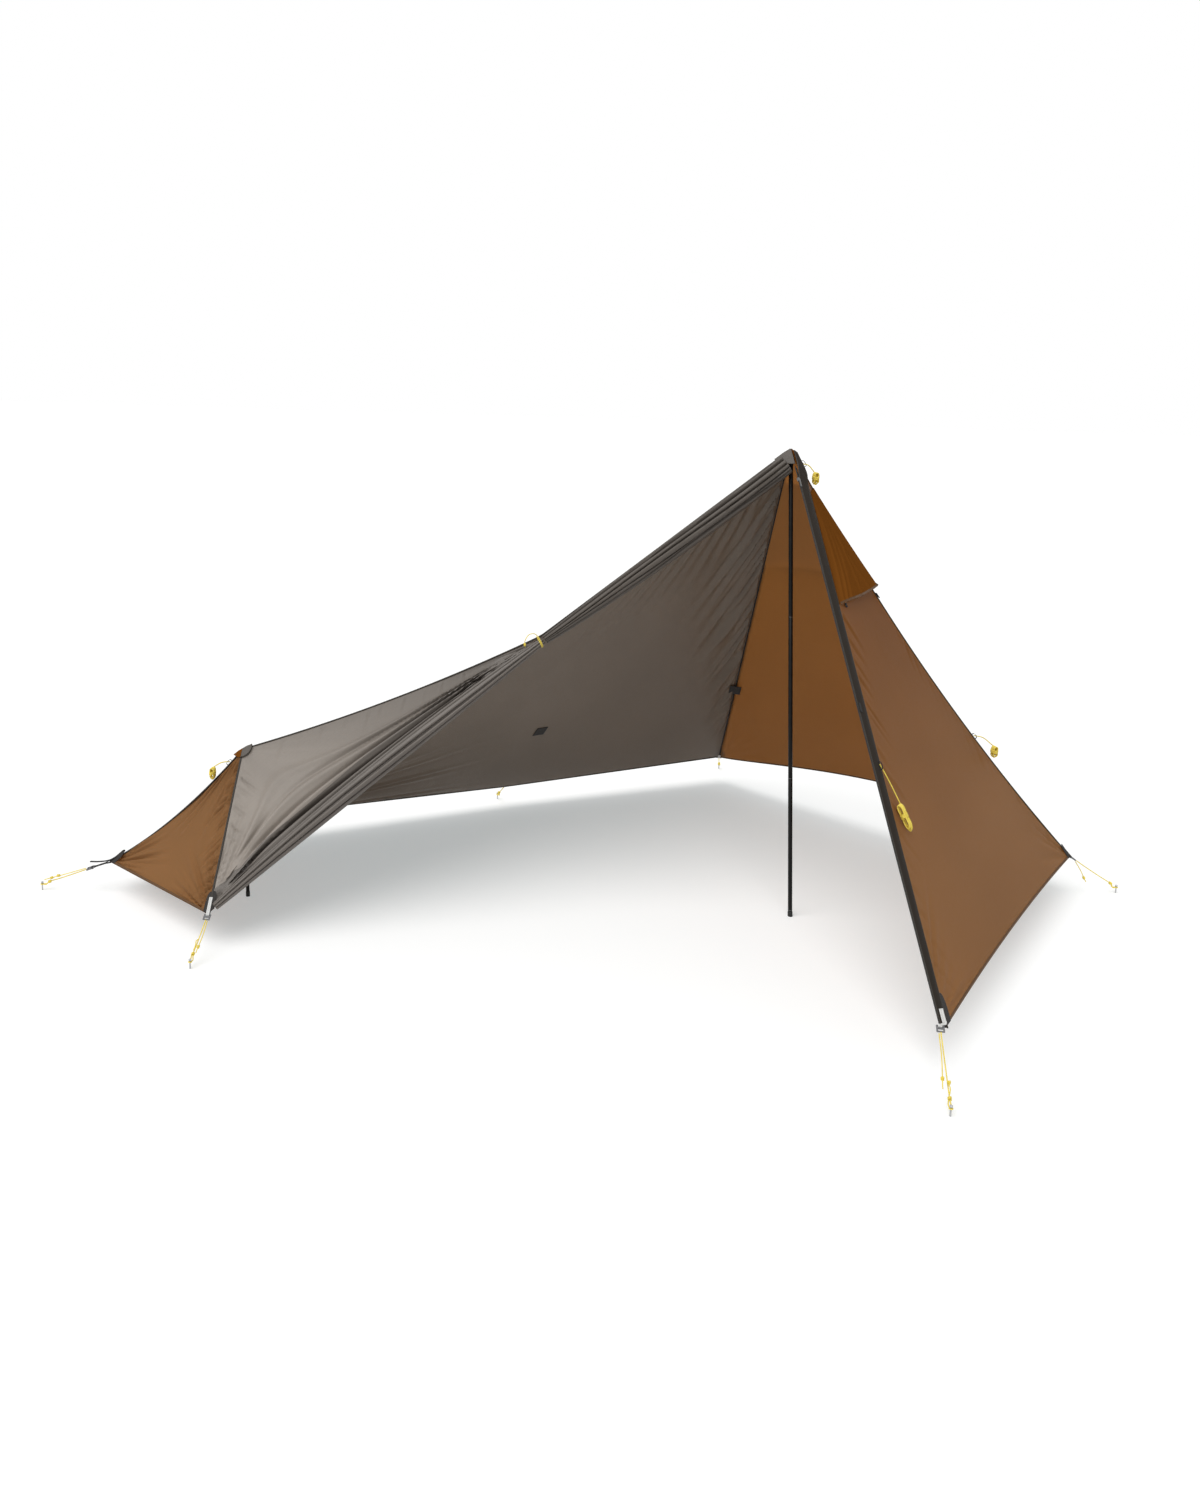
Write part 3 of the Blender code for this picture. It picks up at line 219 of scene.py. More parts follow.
# %% Seam and hem lines
RIDGE_DIP = 0.020
FLAP_TOP, FLAP_FOOT = 0.045, 0.032
head_run = (tie_point - main_peak).length
ridge_split = head_run / (head_run + (foot_peak - tie_point).length)
ridge = joined(line(main_peak, tie_point), line(tie_point, foot_peak, RIDGE_DIP), ridge_split)
head_slope = unit(head_tip - main_peak)
ridge_out = pointing(head_slope.cross(FAR), UP)
head_ridge = line(main_peak, head_tip, 0.040, -ridge_out)
foot_ridge = line(foot_peak, foot_tip, 0.030)
near_edge, far_edge = line(main_peak, head_near), line(main_peak, head_far)
foot_edge_near, foot_edge_far = line(foot_peak, foot_near), line(foot_peak, foot_far)
foot_hem_near, foot_hem_far = line(foot_near, foot_tip), line(foot_far, foot_tip)
head_hem_far = line(
    head_far, head_tip, 0.105, unit(main_peak - (head_far + head_tip) / 2.0), 1.3, 0.8)
wall_hem = joined(line(head_far, wall_middle), line(wall_middle, foot_far), ridge_split)
near_run = (head_near - main_peak).length
edge_along = unit(head_near - main_peak)
edge_in = square_to(head_tip - main_peak, edge_along)
edge_out = pointing(edge_along.cross(edge_in), UP)


def flap_width(part):
    return FLAP_TOP + (FLAP_FOOT - FLAP_TOP) * part


def flap_line(part, share=1.0):
    """A line beside the near head edge, as far from it as the zip flap is wide."""
    width = min(flap_width(part), 0.5 * part * near_run)
    return near_edge(part) + edge_in * (width * share)


def fan(left, right, hem):
    """A panel that hangs between two edges which meet at a peak."""
    one, two = rest_of(left), rest_of(right)
    return patch(line(one(0.0), two(0.0)), hem, one, two)


head_near_hem = line(
    flap_line(1.0), head_tip, 0.013, unit(main_peak - (head_near + head_tip) / 2.0))
head_near_surface = fan(flap_line, head_ridge, head_near_hem)
head_far_surface = fan(far_edge, head_ridge, head_hem_far)
foot_near_surface = fan(foot_edge_near, foot_ridge, foot_hem_near)
foot_far_surface = fan(foot_edge_far, foot_ridge, foot_hem_far)
far_wall_surface = patch(ridge, wall_hem, far_edge, foot_edge_far)
print("near head edge is", round(near_run, 3), "m long")

# %% [markdown]
# Finishes are node materials. Shader maths reads best as plain sums, so a small class wraps a
# number socket, and Python's operators on it add the Math nodes. Any other node comes from one
# method that takes the node's type, its settings and its inputs.


# %% Shader maths
class Value:
    """A number socket. Operators on it add Math nodes to its material."""

    def __init__(self, finish, socket):
        self.finish = finish
        self.socket = socket

    def maths(self, operation, *others):
        inputs = dict(enumerate([self, *others]))
        return self.finish.node("ShaderNodeMath", {"operation": operation}, inputs)

    def __add__(self, other):
        return self.maths("ADD", other)

    def __mul__(self, other):
        return self.maths("MULTIPLY", other)

    def __sub__(self, other):
        return self.maths("SUBTRACT", other)

    def __lt__(self, other):
        return self.maths("LESS_THAN", other)

    def __gt__(self, other):
        return self.maths("GREATER_THAN", other)

    def sine(self):
        return self.maths("SINE")

    def fraction(self):
        return self.maths("FRACT")

    def size(self):
        return self.maths("ABSOLUTE")


class Finish:
    """A material, and one method that adds any node to it."""

    def __init__(self, name, roughness, metallic=0.0, specular=0.5):
        self.material = bpy.data.materials.new(name)
        self.material.use_nodes = True
        self.tree = self.material.node_tree
        self.shader = self.tree.nodes["Principled BSDF"]
        self.output = self.tree.nodes["Material Output"]
        self.shader.inputs["Roughness"].default_value = roughness
        self.shader.inputs["Metallic"].default_value = metallic
        self.shader.inputs["Specular IOR Level"].default_value = specular

    def node(self, kind, settings=None, inputs=None, output=0):
        made = self.tree.nodes.new(kind)
        for name, value in (settings or {}).items():
            setattr(made, name, value)
        for name, value in (inputs or {}).items():
            self.feed(made.inputs[name], value)
        return Value(self, made.outputs[output])

    def feed(self, socket, value):
        if isinstance(value, Value):
            self.tree.links.new(value.socket, socket)
        else:
            socket.default_value = (*value, 1.0) if socket.type == "RGBA" else value

    def ramp(self, value, stops):
        """A colour ramp: each stop is a place and a colour."""
        made = self.tree.nodes.new("ShaderNodeValToRGB")
        slots = made.color_ramp.elements
        while len(slots) < len(stops):
            slots.new(0.5)
        for slot, (place, colour) in zip(slots, stops):
            slot.position = place
            slot.color = (*colour, 1.0)
        self.feed(made.inputs[0], value)
        return Value(self, made.outputs[0])

    def blend(self, factor, one, two, kind="MIX"):
        """Mix two colours."""
        made = self.tree.nodes.new("ShaderNodeMix")
        made.data_type = "RGBA"
        made.blend_type = kind
        for index, value in ((0, factor), (6, one), (7, two)):
            self.feed(made.inputs[index], value)
        return Value(self, made.outputs[2])

    def place(self, kind="UV"):
        return self.node("ShaderNodeTexCoord", output={"UV": 2, "Object": 3}[kind])

    def apart(self, vector, count=2):
        """The first numbers of a vector."""
        made = self.tree.nodes.new("ShaderNodeSeparateXYZ")
        self.feed(made.inputs[0], vector)
        return [Value(self, output) for output in made.outputs[:count]]

    def noise(self, vector, scale, detail=2.0, roughness=0.5):
        return self.node(
            "ShaderNodeTexNoise", inputs={
                "Vector": vector, "Scale": scale, "Detail": detail, "Roughness": roughness})

    def stretched(self, vector, scale):
        return self.node("ShaderNodeMapping", inputs={"Vector": vector, "Scale": scale})

    def colour(self, value):
        self.feed(self.shader.inputs["Base Color"], value)

    def rough(self, value):
        self.feed(self.shader.inputs["Roughness"], value)

    def bump(self, height, strength, distance):
        made = self.node("ShaderNodeBump", inputs={
            "Height": height, "Strength": strength, "Distance": distance})
        self.feed(self.shader.inputs["Normal"], made)
        return made

    def shine(self, colour, strength=1.0):
        """Give off some light of its own."""
        self.feed(self.shader.inputs["Emission Color"], colour)
        self.shader.inputs["Emission Strength"].default_value = strength

    def mix(self, share, one, two):
        """Show two shaders at once. share is how much of the second is seen."""
        mixed = self.tree.nodes.new("ShaderNodeMixShader")
        for socket, value in zip(mixed.inputs, (share, one, two)):
            self.feed(socket, value)
        self.tree.links.new(mixed.outputs[0], self.output.inputs["Surface"])

    def see_through(self, share, colour, normal):
        """Let part of the light through, as thin cloth does."""
        glow = self.node("ShaderNodeBsdfTranslucent", inputs={"Color": colour, "Normal": normal})
        self.mix(share, Value(self, self.shader.outputs[0]), glow)


# %% [markdown]
# The cloth is coated ripstop nylon. Its weave is far finer than a picture's pixels, but the coating
# gives it a soft, slightly uneven sheen, and every five millimetres a thicker thread stands up.
# The piece's own UV map is in metres, so the threads keep their real spacing on every panel. Thin
# cloth also lets light through, so each finish mixes in a translucent shader with its own colour.
# Where several layers lie together, less light gets through, and those finishes are also darker
# copies of their cloth: painted shade. The brown cloth has almost no gloss, and its colour darkens
# higher up with painted shade. The near wall's grey is a lighter copy with painted light, and it
# darkens upwards with painted shade towards the tie, where its cloth is gathered in layers.


# %% Cloth finishes
THREAD_GAP, WEAVE = 0.005, 0.0009
LOW, HIGH = 0.3, 0.9


def ripstop(name, colour, glow, share, specular=0.45, high=None):
    """high is the colour from HIGH up; from LOW the cloth darkens towards it, as painted shade."""
    made = Finish(name, 0.45, specular=specular)
    place = made.place()
    cloudy = made.noise(place, 3.0, 3.0)
    fine = made.noise(place, 90.0, 3.0, 0.6)
    dark = tuple(value * 0.90 for value in colour)
    light = tuple(value * 1.08 for value in colour)
    shade = made.ramp(cloudy, ((0.3, dark), (0.7, light)))
    # Painted shade: from LOW up to HIGH the colour is darkened towards high.
    if high:
        height = made.apart(made.place("Object"), 3)[2]
        deeper = tuple(top / low for top, low in zip(high, colour))
        climb = made.ramp(height, ((LOW, (1.0, 1.0, 1.0)), (HIGH, deeper)))
        shade = made.blend(1.0, shade, climb, "MULTIPLY")
    u, v = made.apart(place)
    thread_u, thread_v = (
        ((way * (1.0 / THREAD_GAP)).fraction() - 0.5).size() > 0.46 for way in (u, v))
    threads = thread_u.maths("MAXIMUM", thread_v)
    weave = (u * (math.tau / WEAVE)).sine() * (v * (math.tau / WEAVE)).sine()
    darker = made.blend(0.06, shade, (0.0, 0.0, 0.0))
    made.colour(made.blend(threads, shade, darker))
    made.rough(fine * 0.18 + 0.34)
    creases = made.noise(made.stretched(place, (14.0, 5.0, 1.0)), 1.0, 4.0, 0.55)
    height = weave * 0.02 + threads * 0.06 + fine * 0.12 + creases
    normal = made.bump(height, 0.35, 0.004)
    made.see_through(share, glow, normal)
    return made


GREY = (0.222, 0.184, 0.150)
NEAR_WALL_GREY_PAINTED_LIGHT = (0.440, 0.390, 0.342)
NEAR_WALL_PAINTED_SHADE_HIGH = (0.035, 0.031, 0.027)
BROWN = (0.281, 0.156, 0.069)
BROWN_PAINTED_SHADE_HIGH = (0.198, 0.079, 0.017)
LAYERED_GREY_PAINTED_SHADE = (0.128, 0.111, 0.096)
ROLLED_GREY_PAINTED_SHADE = (0.088, 0.075, 0.063)
LAYERED_BROWN_PAINTED_SHADE = (0.185, 0.064, 0.010)
GREY_GLOW = (0.270, 0.214, 0.150)
BROWN_GLOW = (0.650, 0.385, 0.160)
BROWN_GLOSS = 0.06
grey_cloth = ripstop("grey brown ripstop", GREY, GREY_GLOW, 0.38)
# The brown cloth's colour darkens higher up: painted shade.
brown_cloth_with_painted_shade = ripstop("brown ripstop", BROWN, BROWN_GLOW, 0.44, BROWN_GLOSS, BROWN_PAINTED_SHADE_HIGH)
# Painted shade: the layered grey is a darker copy of GREY, as well as letting less light through.
grey_layers_painted_shade = ripstop("grey brown ripstop in layers", LAYERED_GREY_PAINTED_SHADE, GREY_GLOW, 0.03)
# Painted shade: the rolled grey is a darker copy of GREY.
grey_roll_painted_shade = ripstop("rolled grey-brown ripstop, painted shade", ROLLED_GREY_PAINTED_SHADE, GREY_GLOW, 0.02, 0.30)
# Painted light and shade: the near wall's grey is a lighter copy of GREY, and darkens upwards.
near_wall_painted_light_and_shade = ripstop(
    "near-side grey-brown ripstop, painted light and shade", NEAR_WALL_GREY_PAINTED_LIGHT, GREY_GLOW, 0.38, high=NEAR_WALL_PAINTED_SHADE_HIGH)
# Painted shade: the brown of the hood and the caps is a darker copy of BROWN.
brown_layers_painted_shade = ripstop("brown ripstop in layers", LAYERED_BROWN_PAINTED_SHADE, BROWN_GLOW, 0.14, 0.0)


# %% Tape, webbing and net finishes
STITCH, RIB, THREAD = 0.0032, 0.0011, 0.00035


def stitched(name, colour, rows, roughness=0.75, specular=0.3):
    """Tape with lines of stitches. rows are the stitch lines' places across the tape, in metres."""
    made = Finish(name, roughness, specular=specular)
    place = made.place()
    u, v = made.apart(place)
    grain = made.noise(made.stretched(place, (900.0, 300.0, 1.0)), 1.0, 2.0)
    ribs = (u * (math.tau / RIB)).sine() * 0.5 + 0.5
    dash = (u * (1.0 / STITCH)).fraction() < 0.62
    marks = None
    for row in rows:
        near = (v - row).size() < THREAD
        marks = near * dash if marks is None else marks.maths("MAXIMUM", near * dash)
    dark = tuple(value * 0.82 for value in colour)
    shade = made.ramp(grain, ((0.35, dark), (0.65, colour)))
    height = ribs * 0.25 + grain * 0.5
    if marks is not None:
        thread = tuple(min(1.0, value * 1.9 + 0.02) for value in colour)
        shade = made.blend(marks, shade, thread)
        height = height - marks * 0.6
    made.colour(shade)
    made.bump(height, 0.5, 0.0006)
    return made


seam_binding = stitched("seam binding", (0.040, 0.034, 0.028), (0.0014, 0.0056))
grey_hem = stitched("grey hem cloth", (0.050, 0.043, 0.036), (0.0022,))
brown_hem = stitched("brown hem cloth", (0.105, 0.052, 0.020), (0.0022,))
flap_cloth = stitched("zip flap cloth", (0.034, 0.028, 0.023), (0.0020, 0.0380), specular=0.06)
dark_patch = stitched("corner patch cloth", (0.026, 0.023, 0.021), ())
black_webbing = stitched("black webbing", (0.018, 0.018, 0.018), (0.001,), 0.8)
pale_webbing = stitched("pale webbing", (0.62, 0.62, 0.60), (0.0012, 0.0068), 0.7)

NET_MESH, TOOTH = 0.002, 0.0026
net_finish = Finish("vent net", 0.8)
net_u, net_v = net_finish.apart(net_finish.place())
net_rows, net_columns = ((way * (1.0 / NET_MESH)).fraction() < 0.4 for way in (net_u, net_v))
net_wire = net_rows.maths("MAXIMUM", net_columns)
net_finish.colour((0.014, 0.014, 0.014))
net_finish.bump(net_wire, 0.6, 0.0005)

zip_finish = Finish("zip tape and teeth", 0.5)
zip_u = zip_finish.apart(zip_finish.place())[0]
zip_teeth = ((zip_u * (1.0 / TOOTH)).fraction() - 0.5).size()
zip_finish.colour(zip_finish.ramp(
    zip_teeth, ((0.2, (0.030, 0.028, 0.026)), (0.42, (0.010, 0.010, 0.010)))))
zip_finish.bump(zip_teeth, 0.8, 0.0012)


# %% [markdown]
# Cord is a braid: strands cross each other around it, and a few of them are paler. Running the
# pattern on the UV map, one way along the cord and one way around it, makes it follow every bend.


# %% Cord, plastic, rubber and metal finishes
BRAID_LENGTH, BRAID_ROUND = 0.0045, 0.0069


def braided(name, colour, pale):
    made = Finish(name, 0.62, specular=0.4)
    place = made.place()
    u, v = made.apart(place)
    along, around = u * (1.0 / BRAID_LENGTH), v * (2.0 / BRAID_ROUND)
    one = ((along + around).fraction() - 0.5).size()
    two = ((along - around).fraction() - 0.5).size()
    strands = one.maths("MAXIMUM", two)
    tint = made.noise(made.stretched(place, (60.0, 60.0, 1.0)), 1.0, 3.0)
    shade = made.ramp(strands, ((0.30, pale), (0.48, colour)))
    dusty = made.ramp(tint, ((0.30, (0.70, 0.70, 0.70)), (0.62, (1.0, 1.0, 1.0))))
    made.colour(made.blend(0.6, shade, made.blend(1.0, shade, dusty, "MULTIPLY")))
    made.bump(strands, 0.7, 0.0006)
    return made


def moulded(name, colour, roughness, scale=700.0, metallic=0.0, bump=0.25, specular=0.5):
    made = Finish(name, roughness, metallic, specular=specular)
    place = made.place("Object")
    grain = made.noise(place, scale, 3.0, 0.6)
    worn = made.noise(place, 60.0, 3.0)
    light = tuple(min(1.0, value * 1.25 + 0.004) for value in colour)
    made.colour(made.ramp(worn, ((0.35, colour), (0.75, light))))
    made.rough(grain * 0.2 + (roughness - 0.1))
    made.bump(grain, bump, 0.0004)
    return made


yellow_cord = braided("yellow cord", (0.80, 0.56, 0.020), (0.95, 0.80, 0.16))
grey_plastic = moulded("grey plastic", (0.12, 0.12, 0.125), 0.45)
black_rubber = moulded("black rubber", (0.016, 0.016, 0.016), 0.75, 400.0)
black_elastic = moulded("black elastic", (0.03, 0.03, 0.03), 0.8)
pole_black = moulded("black anodised tube", (0.004, 0.004, 0.004), 0.42, 1500.0, 0.0, 0.08, 0.16)
peg_metal = moulded("grey aluminium", (0.42, 0.42, 0.43), 0.38, 900.0, 1.0, 0.12)
zip_metal = moulded("dark zip metal", (0.14, 0.14, 0.14), 0.4, 900.0, 1.0, 0.12)


# %% [markdown]
# Every piece goes through one function, which links it, gives it its finish, lets it ride on a
# body of the CAD model, and hides the CAD solids it stands for.


# %% Adding a piece
def add_piece(name, shape, finish, stands_for=(), body="canopy", thickness=0.0, second=None):
    """second is the finish of the faces with the second material index."""
    mesh = bpy.data.meshes.new(name)
    if not thickness:
        bmesh.ops.recalc_face_normals(shape, faces=shape.faces)
    shape.to_mesh(mesh)
    shape.free()
    mesh.materials.append(finish.material)
    if second:
        mesh.materials.append(second.material)
    mesh.shade_smooth()
    mesh.set_sharp_from_angle(angle=math.radians(50.0))
    piece = bpy.data.objects.new(name, mesh)
    bpy.context.scene.collection.objects.link(piece)
    if thickness:
        solid = piece.modifiers.new("Cloth", "SOLIDIFY")
        solid.thickness = thickness
        solid.offset = 0.0
    if body:
        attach(piece, body)
    if stands_for:
        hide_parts(*stands_for)
    return piece


# %% [markdown]
# A sheet starts as bmesh's own grid. Each of its points then moves to its place on the surface, and
# the folds move it along the surface's normal. A fold is a start, a direction, a length, a width
# and a height: cloth pulled at a seam makes many such folds, all alike but none the same.


# %% Folds
def bell(value):
    return math.exp(-value * value)


def ease(value):
    """A soft step: 0 up to 0, 1 from 1 on, and a smooth climb between them."""
    value = min(max(value, 0.0), 1.0)
    return value * value * (3.0 - 2.0 * value)


class Fold:
    """One crease of cloth, sharp at its start and fading along its length."""

    def __init__(self, start, end, width, height, lead=0.12):
        self.start = start
        self.length = (end - start).length
        self.along = unit(end - start)
        self.width = width
        self.height = height
        self.lead = lead

    def lift(self, point, normal):
        reach = point - self.start
        part = reach.dot(self.along) / self.length
        if part < -0.02 or part > 1.0:
            return 0.0
        width = self.width * (0.45 + 1.1 * max(part, 0.0))
        aside = reach.dot(normal.cross(self.along)) / width
        if abs(aside) > 3.2:
            return 0.0
        fade = ease(part / self.lead) * ease((1.0 - part) / 0.7)
        crest, hollow = bell(aside), bell(aside - 1.7)
        return self.height * fade * (crest - 0.55 * hollow)


SIDE_FADE, END_FADE = 0.010, 0.012


def sheet_shape(surface, across, down, folds=(), lean=None, crowd=None, holes=None, layers=None,
                folds_to=1.0):
    """A grid laid on a surface, facing lean.

    crowd is a power for each way, and draws the grid's lines together where folds are fine. Faces
    past the place layers get the second finish, and folds end at the place folds_to.
    """
    shape = bmesh.new()
    uv = shape.loops.layers.uv.new("UVMap")
    bmesh.ops.create_grid(shape, x_segments=across, y_segments=down, size=1.0, calc_uvs=True)
    width = (surface(0.0, 0.5) - surface(1.0, 0.5)).length
    height = (surface(0.5, 0.0) - surface(0.5, 1.0)).length
    parts = {}
    for vert in shape.verts:
        u = (vert.co.x + 1.0) / 2.0
        v = (vert.co.y + 1.0) / 2.0
        if crowd:
            u, v = u ** crowd[0], v ** crowd[1]
        parts[vert] = (u, v)
        vert.co = surface(u, v)
    for face in shape.faces:
        for loop in face.loops:
            u, v = parts[loop.vert]
            loop[uv].uv = (u * width, v * height)
        if layers and min(parts[vert][1] for vert in face.verts) >= layers:
            face.material_index = 1
    if holes:
        gone = [face for face in shape.faces if all(holes(*parts[vert]) for vert in face.verts)]
        bmesh.ops.delete(shape, geom=gone, context="FACES")
    shape.normal_update()
    if lean and sum(vert.normal.dot(lean) for vert in shape.verts) < 0.0:
        bmesh.ops.reverse_faces(shape, faces=shape.faces)
        shape.normal_update()
    if folds:
        for vert in shape.verts:
            lift = sum(fold.lift(vert.co, vert.normal) for fold in folds)
            u, v = parts[vert]
            edge = ease(min(u, 1.0 - u) / SIDE_FADE) * ease(min(v, folds_to - v) / END_FADE)
            vert.co += vert.normal * (lift * edge)
        shape.normal_update()
    return shape


def sheet_area(surface, count):
    total = 0.0
    for u in steps(count)[:-1]:
        for v in steps(count)[:-1]:
            side = 1.0 / count
            one = surface(u + side, v) - surface(u, v)
            two = surface(u, v + side) - surface(u, v)
            three = surface(u + side, v + side) - surface(u, v)
            total += (one.cross(three).length + three.cross(two).length) / 2.0
    return total


sheets = []
trims = {}


def note_sheet(piece, surface, width, length, rests_on, held="stretched", count=24, share=1.0):
    """Note a sheet's flat size, to be printed at the end."""
    area = sheet_area(surface, count) * share
    sheets.append((piece, width, length, rests_on, held, area))
    print(piece.name, "has an area of", round(area, 3), "m2")


# %% [markdown]
# The far wall is one big panel. In the picture its folds start at the zip on the far head edge and
# run down towards the foot end, long and soft near the peak, short and tight lower down. Another
# set runs level, out of the far foot corner. A seeded random series spaces them like real folds.

# %% Far wall
series = random.Random(7)
far_out = pointing(unit((head_far - main_peak).cross(foot_far - main_peak)), FAR)
seam_down = unit(head_far - main_peak)
wall_level = square_to(foot_far - head_far, seam_down)
wall_folds = []
EDGE_FOLDS, CORNER_FOLDS, PEAK_FOLDS = 34, 11, 9
for place in range(EDGE_FOLDS):
    part = 0.045 + 0.80 * (place + series.uniform(-0.35, 0.35)) / EDGE_FOLDS
    turn = math.radians(29.0 - 17.0 * part + series.uniform(-2.5, 2.5))
    start = far_edge(part) + wall_level * 0.004
    run = (0.52 - 0.42 * part) * series.uniform(0.55, 1.25)
    end = start + (seam_down * math.cos(turn) + wall_level * math.sin(turn)) * run
    height = -(0.0140 - 0.0090 * part) * series.uniform(0.30, 1.20)
    wall_folds.append(Fold(start, end, 0.0125 * series.uniform(0.6, 1.5), height, 0.05))
outward = unit(wall_middle - foot_far)
rising = square_to(foot_peak - foot_far, outward)
for place in range(CORNER_FOLDS):
    turn = math.radians(2.0 + 3.1 * place + series.uniform(-0.8, 0.8))
    way = outward * math.cos(turn) + rising * math.sin(turn)
    start = foot_far + way * 0.02
    end = start + way * series.uniform(0.45, 0.85)
    wall_folds.append(Fold(start, end, 0.009, -0.0058 * series.uniform(0.5, 1.2)))
for place in range(PEAK_FOLDS):
    start = ridge(0.03 + 0.022 * place) + DOWN * 0.005
    end = far_wall_surface(0.10 + 0.045 * place, 0.30)
    wall_folds.append(Fold(start, end, 0.012, -0.0052 * series.uniform(0.4, 1.2)))


shape = sheet_shape(far_wall_surface, 210, 150, wall_folds, far_out, crowd=(1.45, 1.1))
wall_far = add_piece(
    "far_wall_cloth", shape, grey_cloth, ("wall_far",), thickness=CLOTH)
note_sheet(wall_far, far_wall_surface, 1.66, 1.53, ["ridge_seam", "zip_chain_far", "foot_seam_far"])

# %% [markdown]
# The studio is a pale floor and soft light. A broad lamp overhead gives the shape its shading, and
# the world fills the rest. Rays that the camera sends out, and the ones it sees in a gloss, find a
# white world, so the background stays white while a dimmer world lights the cloth. The floor does
# the same: its own colour and glow are what the camera sees, and plain paper is what lights the
# cloth from below.

# %% Studio
SKY_LIGHT = 0.47
backdrop = bpy.context.scene.world or bpy.data.worlds.new("world")
bpy.context.scene.world = backdrop
backdrop.use_nodes = True
sky_tree = backdrop.node_tree
sky = sky_tree.nodes["Background"]
sky.inputs["Color"].default_value = (1.0, 1.0, 1.0, 1.0)


def seen_directly(tree):
    """1 for rays from the camera, and for the ones it sees in a gloss or through glass."""
    path = tree.nodes.new("ShaderNodeLightPath")
    found = path.outputs["Is Camera Ray"]
    for name in ("Is Glossy Ray", "Is Transmission Ray"):
        either = tree.nodes.new("ShaderNodeMath")
        either.operation = "MAXIMUM"
        tree.links.new(found, either.inputs[0])
        tree.links.new(path.outputs[name], either.inputs[1])
        found = either.outputs[0]
    return found


level_of_sky = sky_tree.nodes.new("ShaderNodeMapRange")
level_of_sky.inputs["To Min"].default_value = SKY_LIGHT
level_of_sky.inputs["To Max"].default_value = 1.0
sky_tree.links.new(seen_directly(sky_tree), level_of_sky.inputs["Value"])
sky_tree.links.new(level_of_sky.outputs["Result"], sky.inputs["Strength"])

floor_shape = bmesh.new()
bmesh.ops.create_grid(floor_shape, x_segments=1, y_segments=1, size=30.0)
floor_mesh = bpy.data.meshes.new("floor")
floor_shape.to_mesh(floor_mesh)
floor_shape.free()
floor = bpy.data.objects.new("floor", floor_mesh)
bpy.context.scene.collection.objects.link(floor)
paper = Finish("floor paper", 0.9, specular=0.0)
paper.colour((0.688, 0.664, 0.652))
paper.shine((0.90, 0.98, 1.0), 0.395)
plain = paper.node("ShaderNodeBsdfDiffuse", inputs={"Color": (0.92, 0.92, 0.92)})
paper.mix(Value(paper, seen_directly(paper.tree)), plain, Value(paper, paper.shader.outputs[0]))
floor_mesh.materials.append(paper.material)

LAMP_WAY = Vector((0.42, 0.40, -1.0))
light = bpy.data.lights.new("overhead", "SUN")
light.energy = 2.15
light.angle = math.radians(55.0)
lamp = bpy.data.objects.new("overhead", light)
lamp.matrix_world = (-LAMP_WAY).to_track_quat("Z", "Y").to_matrix().to_4x4()
bpy.context.scene.collection.objects.link(lamp)

# %% [markdown]
# Brown cloth closes both ends. The near head panel has an opening under its hood, and a piece of
# net fills it. On the grid the opening is simply left-out faces, and the net is its own small grid.


# %% Head panels
def corner_folds(corner, first, second, count, run, height, width=0.008, seed=1):
    """Folds that spread from a corner between two directions."""
    made = []
    spread = random.Random(seed)
    for place in range(count):
        share = (place + 0.5 + spread.uniform(-0.25, 0.25)) / count
        way = unit(unit(first - corner).lerp(unit(second - corner), share))
        start = corner + way * 0.02
        end = start + way * run * spread.uniform(0.6, 1.3)
        made.append(Fold(
            start, end, width * spread.uniform(0.7, 1.4), -height * spread.uniform(0.4, 1.2)))
    return made


def edge_folds(edge, first, last, count, into, run, height, width=0.007, slant=0.0, seed=1):
    """Short folds that leave a seam at nearly the same angle."""
    made = []
    spread = random.Random(seed)
    for place in range(count):
        part = first + (last - first) * (place + 0.5 + spread.uniform(-0.35, 0.35)) / count
        along = unit(edge(min(part + 0.02, 1.0)) - edge(part - 0.02))
        inward = square_to(into - edge(part), along)
        way = unit(inward + along * (slant + spread.uniform(-0.12, 0.12)))
        start = edge(part) + way * 0.004
        end = start + way * run * spread.uniform(0.5, 1.3)
        made.append(Fold(
            start, end, width * spread.uniform(0.7, 1.4), -height * spread.uniform(0.4, 1.25)))
    return made


VENT_LEFT, VENT_RIGHT, VENT_TOP, VENT_BOTTOM = 0.25, 0.75, 0.10, 0.20


def in_vent(u, v, room=1e-4):
    level = VENT_LEFT - room <= u <= VENT_RIGHT + room
    return level and VENT_TOP - room <= v <= VENT_BOTTOM + room


near_out = unit(Vector((0.75, -0.55, 0.5)))
folds = corner_folds(head_near, head_tip, main_peak, 7, 0.34, 0.0042, seed=3)
folds += corner_folds(head_tip, head_near, main_peak, 5, 0.30, 0.0040, seed=4)
folds += edge_folds(flap_line, 0.30, 0.92, 16, head_tip, 0.13, 0.0024, 0.006, 0.9, seed=5)
folds += edge_folds(head_ridge, 0.36, 0.92, 14, head_near, 0.10, 0.0022, 0.006, 0.8, seed=6)
shape = sheet_shape(head_near_surface, 160, 160, folds, near_out, holes=in_vent)
panel = add_piece(
    "near_head_cloth", shape, brown_cloth_with_painted_shade, ("head_panel_near",), thickness=CLOTH)
note_sheet(panel, head_near_surface, 1.30, 1.22, ["zip_flap_near", "head_ridge_seam"], share=0.99)


def net_surface(u, v):
    return head_near_surface(
        VENT_LEFT + (VENT_RIGHT - VENT_LEFT) * u, VENT_TOP + (VENT_BOTTOM - VENT_TOP) * v)


shape = sheet_shape(net_surface, 24, 24, (), near_out)
net = add_piece("vent_netting", shape, net_finish, ("vent_net",), thickness=0.0005)
note_sheet(net, net_surface, 0.14, 0.13, ["near_head_cloth"])

# %% [markdown]
# The far head panel is seen through the open hood. There light comes in from behind the cloth and
# makes it glow near the peak. A weak emission that fades down the panel stands in for that light.

